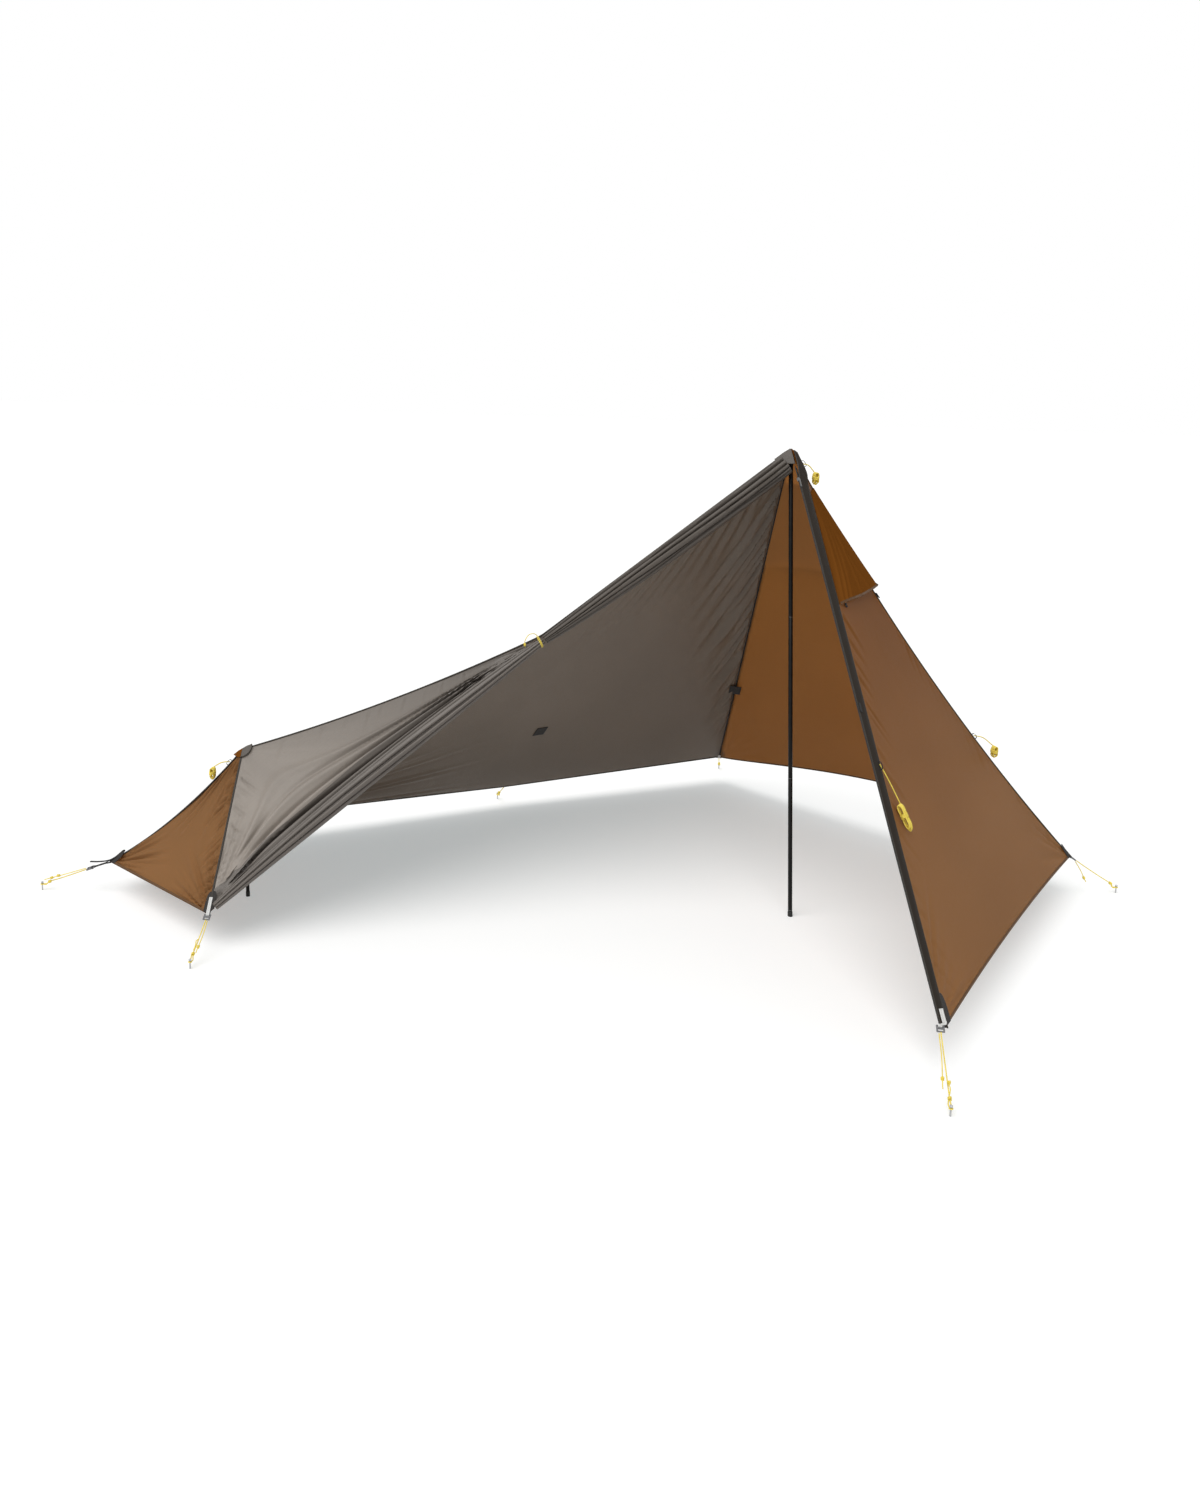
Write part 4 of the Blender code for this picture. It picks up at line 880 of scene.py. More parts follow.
# %% The far head panel
HOOD_LIGHT, BELOW_HOOD = (0.130, 0.066, 0.026), (0.034, 0.024, 0.013)
far_side_out = Vector((0.75, 0.55, 0.5))
folds = corner_folds(head_far, head_tip, main_peak, 6, 0.30, 0.0025, seed=8)
folds += corner_folds(head_tip, head_far, main_peak, 4, 0.30, 0.0022, seed=9)
shape = sheet_shape(head_far_surface, 120, 120, folds, far_side_out)
under_hood = ripstop(
    "brown ripstop under the hood", BROWN, BROWN_GLOW, 0.44, BROWN_GLOSS, BROWN_PAINTED_SHADE_HIGH)
tall = (head_far_surface(0.5, 0.0) - head_far_surface(0.5, 1.0)).length
below_peak = under_hood.apart(under_hood.place())[1] * (1.0 / tall)
under_hood.shine(under_hood.ramp(below_peak, (
    (0.05, HOOD_LIGHT), (0.285, HOOD_LIGHT), (0.297, BELOW_HOOD), (0.75, (0.0, 0.0, 0.0)))))
panel = add_piece(
    "far_head_cloth", shape, under_hood, ("head_panel_far",), thickness=CLOTH)
note_sheet(panel, head_far_surface, 1.30, 1.22, ["zip_chain_far", "head_ridge_seam"])

# %% Foot panels
near_foot_out, far_foot_out = Vector((-0.5, -1.0, 0.6)), Vector((-0.5, 1.0, 0.6))
for side, surface, out, corner, edge, seed in (
        ("near", foot_near_surface, near_foot_out, foot_near, foot_edge_near, 11),
        ("far", foot_far_surface, far_foot_out, foot_far, foot_edge_far, 12)):
    folds = corner_folds(corner, foot_tip, foot_peak, 9, 0.20, 0.0085, 0.0055, seed)
    folds += corner_folds(foot_tip, corner, foot_peak, 8, 0.24, 0.0080, 0.0058, seed + 20)
    folds += corner_folds(foot_peak, corner, foot_tip, 7, 0.26, 0.0078, 0.0055, seed + 40)
    folds += edge_folds(edge, 0.10, 0.90, 17, foot_tip, 0.11, 0.0070, 0.0046, 0.8, seed + 60)
    shape = sheet_shape(surface, 110, 110, folds, out)
    panel = add_piece(
        f"{side}_foot_cloth", shape, brown_cloth_with_painted_shade, (f"foot_panel_{side}",),
        thickness=CLOTH)
    note_sheet(panel, surface, 0.52, 0.50, ["foot_ridge_seam"])

# %% [markdown]
# The door is open. Its cloth is drawn together along the line from the tie to the near foot corner,
# so one sheet makes the taut triangle and then winds up in a loose bundle. Across the bundle the
# sheet follows a spiral with a few deep creases in its outer turn; along it the bundle is thin at
# both ends, where the cloth is tied or sewn, and full in the middle.

# %% The gathered door
TIE_SPACE, TIE_CORD = 0.003, 0.0011
ROLL_NECK, GATHER_NECK, GATHER_MIDDLE, GATHER_BOW = 0.010, 0.008, 0.019, 0.012
LOOSE = 1.2
door_slope = unit(tie_point - main_peak)
door_hang = square_to(Vector((0.0, -0.78, -1.0)), door_slope)
tied_drop = ROLL_NECK * LOOSE + TIE_CORD * 2.0 + (SEAM_RADIUS + GAP) + GAP * 2.0
gather_along = unit(foot_near - tie_point)
gather_in = square_to(foot_peak - line(tie_point, foot_near)(0.5), gather_along)
gather_out = pointing(gather_along.cross(gather_in), UP)
gather_start = tie_point + door_hang * tied_drop + gather_along * TIE_SPACE
gather_end = foot_near - gather_along * 0.024 + gather_in * 0.004
gather_middle = line(gather_start, gather_end, GATHER_BOW, gather_in)


def bundle_radius(part, neck, middle, full=0.0):
    """Narrow where it is tied. full above 0 opens the bundle's start."""
    part = full + (1.0 - full) * min(max(part, 0.0), 1.0)
    return neck + (middle - neck) * max(0.0, math.sin(math.pi * part)) ** 0.8


def gather_edge(part):
    """Where the taut cloth meets the bundle."""
    reach = bundle_radius(part, GATHER_NECK, GATHER_MIDDLE) * LOOSE + GAP
    bow = GATHER_BOW * 4.0 * part * (1.0 - part)
    return gather_start.lerp(gather_end, part) + gather_in * (bow + reach)


back_ridge = line(foot_peak, tie_point, RIDGE_DIP)
door_first = 1.0 - (RIDGE_END - ridge_split) / (1.0 - ridge_split)
back = foot_peak - tie_point
door_last = 1.0 - (gather_edge(0.0) - tie_point).dot(back) / back.length_squared


def bent_to(edge, end):
    """An edge that leaves its own way near its last point, to stop at end."""
    return lambda part: edge(part) + (end - edge(1.0)) * part ** 6


door_left = bent_to(
    lambda part: back_ridge(door_first + (door_last - door_first) * part), gather_edge(0.0))
door_right = bent_to(rest_of(foot_edge_near), gather_edge(1.0))
door_wall = patch(line(door_left(0.0), door_right(0.0)), gather_edge, door_left, door_right)

WALL_SHARE = 0.45
TURNS = 1.6


def crease(angle, at, width, depth):
    return depth * bell((angle - at) / width)


def wound(part, share, radius, creases, first_way, second_way, centre):
    """A point of a loose spiral round a line. share runs from its outer edge to its inner one.

    The spiral tightens in two stages, and only its outer turn has creases.
    """
    angle = math.tau * TURNS * share
    size = radius * (1.0 - 0.42 * ease((angle - 4.6) / 1.6) - 0.30 * ease((angle - 9.0) / 4.0))
    if angle < 5.2:
        size *= 1.0 - sum(crease(angle, at(part), width, depth) for at, width, depth in creases)
    return centre + (first_way * math.cos(angle) + second_way * math.sin(angle)) * size


def wander(base, swing, count, shift):
    """A crease's place round the bundle, which moves to and fro along it."""
    return lambda part: base + swing * math.sin(count * math.pi * part + shift)


gather_creases = (
    (wander(0.12, 0.06, 2.0, 0.3), 0.14, 0.50),
    (wander(1.20, 0.14, 1.7, 1.1), 0.11, 0.40),
    (wander(2.05, 0.20, 1.6, 0.8), 0.15, 0.74),
    (wander(2.85, 0.16, 1.4, 0.4), 0.11, 0.42),
    (wander(3.65, 0.14, 2.2, 3.0), 0.12, 0.34),
)
wall_waves = (
    (0.012, 0.009, 0.0090), (0.028, 0.0046, -0.0250), (0.050, 0.014, 0.0120),
    (0.074, 0.008, -0.0110), (0.100, 0.018, 0.0100), (0.135, 0.011, -0.0070),
    (0.175, 0.022, 0.0060))


def door_surface(part, share):
    """First the taut wall with waves beside the bundle, then the wound bundle itself."""
    if share <= WALL_SHARE:
        down = share / WALL_SHARE
        down = 1.0 - (1.0 - down) ** 1.6
        point = door_wall(part, down)
        from_edge = (point - gather_edge(part)).length
        stretch = 0.30 + 0.70 * math.sin(math.pi * min(max(part, 0.0), 1.0))
        lift = 0.0
        for at, width, height in wall_waves:
            here = (at + 0.08 * at * math.sin(7.0 * part + 90.0 * at)) * stretch
            fade = ease(part / 0.10) * ease((1.0 - part) / 0.08) * ease((stretch - 0.30) / 0.42)
            lift += height * fade * bell((from_edge - here) / (width * stretch))
        return point + gather_out * lift
    share = (share - WALL_SHARE) / (1.0 - WALL_SHARE)
    radius = bundle_radius(part, 0.0085, 0.0205) * 1.12
    return wound(part, share, radius, gather_creases, gather_in, gather_out, gather_middle(part))


folds = edge_folds(foot_edge_near, 0.12, 0.92, 18, tie_point, 0.09, 0.0040, 0.0048, 0.8, seed=31)
folds += corner_folds(foot_near, foot_peak, tie_point, 9, 0.34, 0.0060, 0.007, seed=32)
folds += corner_folds(tie_point, foot_peak, foot_near, 7, 0.34, 0.0038, 0.007, seed=33)
folds += edge_folds(back_ridge, 0.10, 0.92, 12, foot_near, 0.09, 0.0016, 0.006, -0.6, seed=34)
# From here on the door's faces take the layered grey with painted shade, also on the taut wall
# beside the bundle.
LAYERS_AND_PAINTED_SHADE_FROM = 0.33
shape = sheet_shape(
    door_surface, 200, 260, folds, gather_out, layers=LAYERS_AND_PAINTED_SHADE_FROM, folds_to=WALL_SHARE)
door_foot = add_piece(
    "gathered_door_cloth", shape, near_wall_painted_light_and_shade,
    ("wall_near_foot", "door_gather"), thickness=CLOTH, second=grey_layers_painted_shade)
note_sheet(
    door_foot, door_surface, 1.15, 0.72, ["ridge_seam", "foot_seam_near"], "gathered", 60)

# %% [markdown]
# Between the tie and the main peak the rest of the door hangs rolled under the ridge. It leaves the
# seam, comes down on the near side and winds up, so its outer turn shows a deep crease near the top
# and a smooth full lobe below it.

# %% The rolled door
ROLL_FULL = 0.34
roll_start = main_peak + door_slope * 0.038
roll_end = tie_point - door_slope * TIE_SPACE


def roll_middle(part):
    reach = bundle_radius(part, ROLL_NECK, 0.024, ROLL_FULL) * LOOSE + GAP + SEAM_RADIUS
    return roll_start.lerp(roll_end, part) + door_hang * (reach + 0.0028 * part ** 4)


roll_near = pointing(door_slope.cross(door_hang), -FAR)
roll_creases = (
    (wander(0.36, 0.06, 3.0, 0.6), 0.10, 0.32),
    (wander(0.88, 0.08, 1.3, 0.2), 0.10, 0.52),
    (wander(1.36, 0.10, 1.7, 0.9), 0.12, 0.66),
    (wander(2.00, 0.12, 2.1, 1.0), 0.09, 0.34),
    (wander(2.55, 0.10, 1.5, 0.4), 0.08, 0.26),
    (wander(2.95, 0.12, 2.4, 2.2), 0.11, 0.40),
)


def roll_surface(part, share):
    radius = bundle_radius(part, 0.0110, 0.0268, ROLL_FULL) * 1.08
    return wound(part, share, radius, roll_creases, -door_hang, roll_near, roll_middle(part))


shape = sheet_shape(roll_surface, 210, 150)
roll = add_piece(
    "rolled_door_cloth", shape, grey_roll_painted_shade, ("door_roll",), thickness=CLOTH)
note_sheet(roll, roll_surface, 0.86, 0.30, ["ridge_seam"], "gathered", 60)

# %% [markdown]
# Seams, hems, cords and webbing are all sweeps: a small closed section carried along a line. The
# section's ring of points turns with the line, the grid's first and last columns merge, and the two
# ends shrink to a point, which closes the piece.


# %% Sweeping a section along a line
def frames_along(points, out):
    """At each point, the ways along, across and out. out is a vector or a function of the place."""
    made = []
    for place in range(len(points)):
        along = way_at(points, place)
        wanted = out(place) if callable(out) else out
        up = wanted - along * wanted.dot(along)
        if up.length < 1e-4:
            up = made[-1][2] if made else along.orthogonal()
        up = unit(up)
        made.append((along, along.cross(up), up))
    return made


def free_frames(points):
    """Frames that turn as little as they can, for round cords."""
    up = unit(unit(points[1] - points[0]).orthogonal())
    made = []
    for place in range(len(points)):
        along = way_at(points, place)
        up = square_to(up, along)
        made.append((along, along.cross(up), up))
    return made


def ring_of(width, height, sides=12, square=2.0):
    """A closed section. square is 2 for an ellipse, and more for a flatter band."""
    made = []
    for place in range(sides):
        angle = math.tau * place / sides
        one, two = math.cos(angle), math.sin(angle)
        size = (abs(one) ** square + abs(two) ** square) ** (-1.0 / square)
        made.append((one * size * width / 2.0, two * size * height / 2.0))
    return made


def sweep_shape(points, frames, section, sizes=None):
    """Carry a section along points. sizes scales it at each point."""
    count, sides = len(points), len(section)
    shape = bmesh.new()
    uv = shape.loops.layers.uv.new("UVMap")
    bmesh.ops.create_grid(shape, x_segments=count + 1, y_segments=sides, size=1.0, calc_uvs=True)
    lengths = lengths_along(points)
    around = [0.0]
    for one, two in zip(section, section[1:] + section[:1]):
        around.append(around[-1] + math.dist(one, two))
    uvs = {}
    for vert in shape.verts:
        row = round((vert.co.x + 1.0) / 2.0 * (count + 1))
        side = round((vert.co.y + 1.0) / 2.0 * sides)
        index = min(max(row - 1, 0), count - 1)
        uvs[vert] = (lengths[index], around[side])
        across, up = frames[index][1:]
        size = 0.0 if row in (0, count + 1) else (sizes(index / (count - 1)) if sizes else 1.0)
        one, two = section[side % sides]
        vert.co = points[index] + across * (one * size) + up * (two * size)
    for face in shape.faces:
        for loop in face.loops:
            loop[uv].uv = uvs[loop.vert]
    bmesh.ops.remove_doubles(shape, verts=shape.verts, dist=1e-7)
    bmesh.ops.dissolve_degenerate(shape, edges=shape.edges, dist=1e-7)
    bmesh.ops.recalc_face_normals(shape, faces=shape.faces)
    return shape


def band(name, points, out, width, height, finish, stands_for=(), body="canopy",
         square=4.0):
    """A flat strip, such as webbing or a hem."""
    shape = sweep_shape(points, frames_along(points, out), ring_of(width, height, 14, square))
    return add_piece(name, shape, finish, stands_for, body)


def along_line(edge, first, last, count):
    return [edge(part) for part in steps(count, first, last)]


# %% Seams
for name, edge, out, node in (
        ("ridge_binding", ridge, UP, "ridge_seam"),
        ("head_ridge_binding", head_ridge, ridge_out, "head_ridge_seam"),
        ("foot_ridge_binding", foot_ridge, Vector((-0.66, 0.0, 0.75)), "foot_ridge_seam"),
        ("near_foot_binding", foot_edge_near, Vector((-0.45, -0.75, 0.5)), "foot_seam_near"),
        ("far_foot_binding", foot_edge_far, Vector((-0.45, 0.75, 0.5)), "foot_seam_far")):
    first, last = (0.026, RIDGE_END) if edge is ridge else (SEAM_START, 1.0)
    points = along_line(edge, first, last, 90)
    band(name, points, out, 0.0062, 0.0046, seam_binding, stands_for=(node,), square=1.8)

# %% [markdown]
# Every free edge is hemmed: the cloth is folded over a narrow tape and stitched. A hem is a thin
# band that takes the cloth's edge into its middle.


# %% Hems
def hem(name, edge, inner, out, sheet_name, finish, first=0.0, count=80, body="canopy"):
    points = []
    for part in steps(count, first):
        point = edge(part)
        along = unit(edge(min(part + 0.01, 1.0)) - edge(max(part - 0.01, 0.0)))
        points.append(point + square_to(inner - point, along) * 0.0024)
    made = band(name, points, out, 0.0068, 0.0019, finish, body=body)
    trims.setdefault(sheet_name, []).append(made)
    return made


wall_centre = far_wall_surface(0.5, 0.4)
hem("near_head_hem", head_near_hem, main_peak, near_out, "near_head_cloth", brown_hem)
hem("far_head_hem", head_hem_far, main_peak, far_side_out, "far_head_cloth", brown_hem)
hem("far_wall_hem", wall_hem, wall_centre, far_out, "far_wall_cloth", grey_hem, count=140)
hem("near_foot_hem", foot_hem_near, foot_peak, near_foot_out, "near_foot_cloth", brown_hem)
hem("far_foot_hem", foot_hem_far, foot_peak, far_foot_out, "far_foot_cloth", brown_hem)

# %% [markdown]
# The zip on the near head edge lies under a storm flap, a doubled strip of cloth that bows outwards
# a little. The teeth are one coil, so its section swells and narrows every two and a half
# millimetres. The far zip is closed, with its coil in the middle of a dark tape.

# %% Zip flap and zips
def flap_surface(along, across):
    part = 0.005 + 0.999 * along
    width = min(flap_width(part), 0.011 + 0.5 * part * near_run)
    crown = 0.0050 * math.sin(math.pi * across) ** 0.6 * ease(part / 0.10)
    over_cap = 0.0078 * ease((0.075 - part) / 0.045)
    ripple = 0.0006 * math.sin(part * 61.0 + 4.0 * across) * math.sin(math.pi * across)
    return near_edge(part) + edge_in * (width * across) + edge_out * (crown + ripple + over_cap)


shape = sheet_shape(flap_surface, 300, 24, (), edge_out)
flap = add_piece(
    "near_zip_flap", shape, flap_cloth, ("zip_flap_near",), thickness=0.0013)
note_sheet(flap, flap_surface, FLAP_TOP, 1.52, ["near_head_cloth"])
for name, across in (("near_flap_inner_edge", 0.03), ("near_flap_outer_edge", 0.97)):
    points = [flap_surface(along, across) for along in steps(150)]
    edge = band(name, points, edge_out, 0.0040, 0.0022, seam_binding)
    trims.setdefault("near_zip_flap", []).append(edge)


def coil(name, points, radius, node):
    """A zip's coil: a tube of rings 0.7 mm apart whose size goes up and down once per tooth."""
    dense = []
    for one, two in zip(points, points[1:]):
        count = max(1, round((two - one).length / 0.0007))
        dense += [one.lerp(two, place / count) for place in range(count)]
    dense.append(points[-1])
    teeth = round(run_length(dense) / TOOTH)

    def size(part):
        return 0.86 + 0.22 * math.sin(math.tau * teeth * part)

    section = ring_of(radius * 2.0, radius * 2.0, 8)
    shape = sweep_shape(dense, frames_along(dense, edge_out), section, size)
    add_piece(name, shape, zip_finish, (node,))


CHAIN_RADIUS = 0.0015
ends = ((CAP_REACH + CHAIN_RADIUS * 4.0) / near_run, 1.0 - CHAIN_RADIUS * 2.0 / near_run)
points = [near_edge(part) - edge_in * (CHAIN_RADIUS + GAP) for part in ends]
coil("near_zip_coil", points, 0.0016, "zip_chain_near")
points = [near_edge(part) + edge_in * 0.0036 - edge_out * 0.0013 for part in steps(60, *ends)]
band("near_zip_tape", points, edge_out, 0.0088, 0.0010, seam_binding)
coil("far_zip_coil", along_line(far_edge, SEAM_START, 0.995, 2), 0.0026, "zip_chain_far")
points = along_line(far_edge, SEAM_START, 0.995, 60)
band("far_zip_tape", points, Vector((0.45, 0.85, 0.3)), 0.0150, 0.0022, seam_binding)

# %% [markdown]
# The hood is a second layer over the head ridge, sewn along both sides and held open at its hem by
# a small strut. When the strut folds it drops, but its sewn sides stay where they are. Here each
# half stands open, and lifts off the shelter more from its sewn side inwards.

# %% Vent hood
HOOD_TOP, HOOD_BOTTOM = 0.085, 0.31


def surface_out(surface, across, down):
    """Square to a surface, on its upper side."""
    one = surface(across + 0.02, down) - surface(across - 0.02, down)
    two = surface(across, down + 0.02) - surface(across, down - 0.02)
    return pointing(unit(one.cross(two)), UP)


def hood_half(surface, wrinkles):
    """One half of the hood over a panel. A wrinkle is a slope, a height, a width and a place."""
    def at(across, down):
        part = HOOD_TOP + (HOOD_BOTTOM - HOOD_TOP) * down
        share = (part - SEAM_START) / (1.0 - SEAM_START)
        width = (surface(1.0, share) - surface(0.0, share)).length
        edge = min(0.004 / width, 0.2)
        place = edge + (1.0 - edge) * across
        sewn = ease(across / 0.20)
        lift = 0.0029 + down * (0.0145 - 0.0025 * math.sin(math.pi * place / 2.0)) * sewn
        middle = ease((place - 0.86) / 0.14)
        way = surface_out(surface, min(place, 0.97), share).lerp(ridge_out, middle)
        wave = 0.0
        for slope, height, width, phase in wrinkles:
            wave += height * bell((across - phase - slope * (1.0 - down)) / width)
        wave *= ease(down * 1.3) * ease(across / 0.05) * ease((1.0 - across) / 0.03)
        fall = 0.004 * math.sin(math.pi * across) ** 2
        return surface(place, share + fall * down) + way * (lift * (1.0 + 0.25 * middle) + wave)

    return at


hood_near = hood_half(head_near_surface, (
    (0.62, 0.0046, 0.030, 0.20), (0.50, -0.0036, 0.024, 0.27), (0.40, 0.0034, 0.020, 0.12),
    (0.16, 0.0030, 0.018, 0.07), (0.30, 0.0030, 0.030, 0.52), (-0.25, 0.0024, 0.035, 0.80)))
hood_far = hood_half(head_far_surface, ((0.55, 0.0034, 0.030, 0.20), (0.35, -0.0024, 0.026, 0.40)))
for name, half, out, nodes in (
        ("near_hood_cloth", hood_near, near_out, ("vent_hood",)),
        ("far_hood_cloth", hood_far, far_side_out, ())):
    shape = sheet_shape(half, 110, 90, (), out)
    made = add_piece(name, shape, brown_layers_painted_shade, nodes, None, CLOTH)
    low, high = half(0.0, 1.0), half(0.7, 1.0)
    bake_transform(made)
    note_sheet(made, half, 0.26, 0.33, ["head_ridge_seam"])
    made_hem = hem(
        name.replace("cloth", "hem"), lambda part: half(part, 1.0), half(0.5, 0.0), out, name,
        brown_hem, 0.02, 50, None)
    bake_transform(made_hem)

# %% [markdown]
# A cap of doubled cloth covers each peak. It follows the slopes below it, so its surface is drawn
# from the four seams that meet there: half of it grey, to match the walls, and half brown.


# %% Peak caps
def cap_surface(peak, ribs, reach, height):
    """Part of a cap: across runs from rib to rib and down runs from the peak to the rim."""
    count = len(ribs) - 1
    outs = [UP] + [pointing(unit(one.cross(two)), UP) for one, two in zip(ribs, ribs[1:])] + [UP]

    def at(across, down):
        place = min(int(across * count), count - 1)
        part = across * count - place
        way = unit(ribs[place].lerp(ribs[place + 1], part))
        hollow = reach * (1.0 - 0.10 * math.sin(math.pi * part))
        out = outs[place + 1]
        if part < 0.25:
            out = unit(out.lerp(outs[place], 0.5 - 2.0 * part))
        if part > 0.75:
            out = unit(out.lerp(outs[place + 2], 2.0 * part - 1.5))
        rise = height * (0.6 + 0.4 * ease(down * 2.0))
        return peak + way * (hollow * (0.03 + 0.97 * down)) + out * rise

    return at


for name, peak, ends, reach, height in (
        ("main", main_peak, (tie_point, head_near, head_tip, head_far), CAP_REACH, 0.0048),
        ("foot", foot_peak, (tie_point, foot_near, foot_tip, foot_far), 0.028, 0.0046)):
    ribs = [unit(point - peak) for point in ends]
    for half, chosen, finish, slot in (
            ("grey", (ribs[3], ribs[0], ribs[1]), grey_roll_painted_shade, "grey_brown_fabric"),
            ("brown", (ribs[1], ribs[2], ribs[3]), brown_layers_painted_shade, "brown_fabric")):
        surface = cap_surface(peak, chosen, reach, height)
        shape = sheet_shape(surface, 64, 24, (), UP)
        made = add_piece(
            f"{name}_cap_{half}_cloth", shape, finish, (f"{name}_peak_cap",),
            thickness=CLOTH * 2.0)
        note_sheet(made, surface, reach * 2.0, reach * 1.05, [f"{name}_pole_cup"])
        points = [surface(part, 0.985) for part in steps(60)]
        edge = band(f"{name}_cap_{half}_edge", points, UP, 0.0036, 0.0020, finish)
        trims.setdefault(made.name, []).append(edge)

# %% [markdown]
# Round parts are turned: bmesh spins a half outline about an axis. The poles are hollow tubes with
# a narrower joint at their lower ends and a thin dark metal ring where two sections meet.


# %% Turned parts
def turned(name, profile, place, way, finish, slot, body, stands_for=(), sides=48):
    """Spin a profile of radius and height about local Z, then stand local -Z along way."""
    shape = bmesh.new()
    bmesh.ops.create_vert(shape, co=(profile[0][0], 0.0, profile[0][1]))
    for radius, height in profile[1:]:
        shape.verts.ensure_lookup_table()
        last = shape.verts[-1]
        grown = bmesh.ops.extrude_vert_indiv(shape, verts=[last])
        grown["verts"][0].co = (radius, 0.0, height)
    bmesh.ops.spin(
        shape, geom=shape.verts[:] + shape.edges[:], cent=(0.0, 0.0, 0.0), axis=(0.0, 0.0, 1.0),
        angle=math.tau, steps=sides, use_merge=True, use_duplicate=False)
    bmesh.ops.remove_doubles(shape, verts=shape.verts, dist=1e-6)
    turn = DOWN.rotation_difference(way).to_matrix()
    bmesh.ops.rotate(shape, verts=shape.verts, matrix=turn)
    bmesh.ops.translate(shape, verts=shape.verts, vec=place)
    bmesh.ops.recalc_face_normals(shape, faces=shape.faces)
    return add_piece(name, shape, finish, stands_for, body)


def rounded(profile, radius):
    """Round a profile's corners with two short steps each."""
    made = [profile[0]]
    for before, here, after in zip(profile, profile[1:], profile[2:]):
        one, two = Vector(before) - Vector(here), Vector(after) - Vector(here)
        size = min(radius, one.length * 0.45, two.length * 0.45)
        start = Vector(here) + unit(one) * size
        end = Vector(here) + unit(two) * size
        middle = (start + end) * 0.25 + Vector(here) * 0.5
        made += [tuple(start), tuple(middle), tuple(end)]
    return made + [profile[-1]]


def ball_profile(radius, rim, count):
    """The outline of a ball from near its top down to an angle."""
    return [
        (radius * math.sin(angle), radius * math.cos(angle)) for angle in steps(count, 0.12, rim)]


CUP_SPACE, CUP_HEIGHT, FOOT_LENGTH = 0.016, 0.009, 0.014
ROUNDING = 0.0008
RUBBER = (black_rubber, "black_rubber")


def cup_shape(name, radius, hollow, drop, place, node):
    """A rubber cup with a round seat, which the pole's tip turns in."""
    centre = -CUP_HEIGHT - drop
    rim = math.asin(math.sqrt(hollow ** 2 - drop ** 2) / hollow)
    curve = ball_profile(hollow, rim, 8)
    seat = [(0.0, centre + hollow)] + [(one, centre + two) for one, two in curve]
    shell = rounded([
        (0.0, 0.0), (radius * 0.8, 0.0), (radius, -CUP_HEIGHT * 0.35), (radius, -CUP_HEIGHT),
        seat[-1]], ROUNDING)
    turned(name, shell + seat[::-1][1:], place, DOWN, *RUBBER, "canopy", (node,))


def pole_line(peak, foot, drop):
    """A pole's direction, its cup's place, its tip's centre and its length below that."""
    lean = unit(foot - peak)
    cup_top = peak.z - CUP_SPACE - GAP
    centre_height = cup_top - CUP_HEIGHT - drop
    centre = peak + lean * ((peak.z - centre_height) / -lean.z)
    return lean, (centre.x, centre.y, cup_top), centre, (foot - centre).length


# %% Main pole
TIP_RADIUS, FOOT_TIP_RADIUS = 0.0065, 0.0055
TUBE, BORE, JOINT, JOINT_BORE, JOINT_REACH = 0.006, 0.0052, 0.0049, 0.0042, 0.050
EDGE = 0.0003
PIVOT_DROP = 0.0042
lean, cup_place, centre, total = pole_line(main_peak, Vector((0.525, -0.168, 0.0)), PIVOT_DROP)
cup_shape("main_pole_cup_rubber", 0.011, 0.0068, PIVOT_DROP, cup_place, "main_pole_cup")
ball = [(0.0, TIP_RADIUS)] + ball_profile(TIP_RADIUS, math.pi / 2.0, 10) + [
    (TIP_RADIUS, -0.010), (0.0, -0.010)]
turned("main_pole_ball", ball, centre, lean, *RUBBER, "main_pole_top", ("main_pole_tip",))
tube_top = -0.0103
upper_end = -(total - 0.838)
lower_end = -(total - 0.388)
foot_top = -(total - FOOT_LENGTH)


def tube_profile(top, bottom, with_joint):
    profile = [
        (BORE, top), (TUBE - EDGE, top), (TUBE, top - EDGE), (TUBE, bottom + EDGE),
        (TUBE - EDGE, bottom)]
    if with_joint:
        end, inner_end = bottom - JOINT_REACH, bottom + JOINT_REACH
        profile += [
            (JOINT, bottom), (JOINT, end + 0.001), (JOINT - 0.0004, end), (JOINT_BORE, end),
            (JOINT_BORE, inner_end), (BORE, inner_end)]
    else:
        profile += [(BORE, bottom)]
    return profile + [(BORE, top)]


for name, top, bottom, joint, body, node in (
        ("upper_pole_tube", tube_top, upper_end, True, "main_pole_top", "main_pole_upper"),
        ("middle_pole_tube", upper_end - GAP, lower_end, True, "main_pole_mid", "main_pole_middle"),
        ("lower_pole_tube", lower_end - GAP, foot_top + GAP, False, "main_pole_low",
         "main_pole_lower")):
    outline = tube_profile(top, bottom, joint)
    turned(name, outline, centre, lean, pole_black, "pole_black", body, (node,))
for name, top, body in (
        ("upper_tube_ring", upper_end + 0.0026, "main_pole_top"),
        ("middle_tube_ring", lower_end + 0.0026, "main_pole_mid"),
        ("lower_tube_ring", foot_top + 0.0040, "main_pole_low")):
    inner, outer, low = TUBE - 0.0001, TUBE + 0.00022, top - 0.0012
    outline = [(inner, top), (outer, top), (outer, low), (inner, low), (inner, top)]
    turned(name, outline, centre, lean, zip_metal, "zip_metal", body)
elastic = [(0.0, tube_top), (0.00125, tube_top), (0.00125, foot_top + GAP), (0.0, foot_top + GAP)]
turned("main_pole_elastic", elastic, centre, lean, black_elastic, "black_elastic", "main_pole_top",
       ("main_pole_shock_cord",), 16)


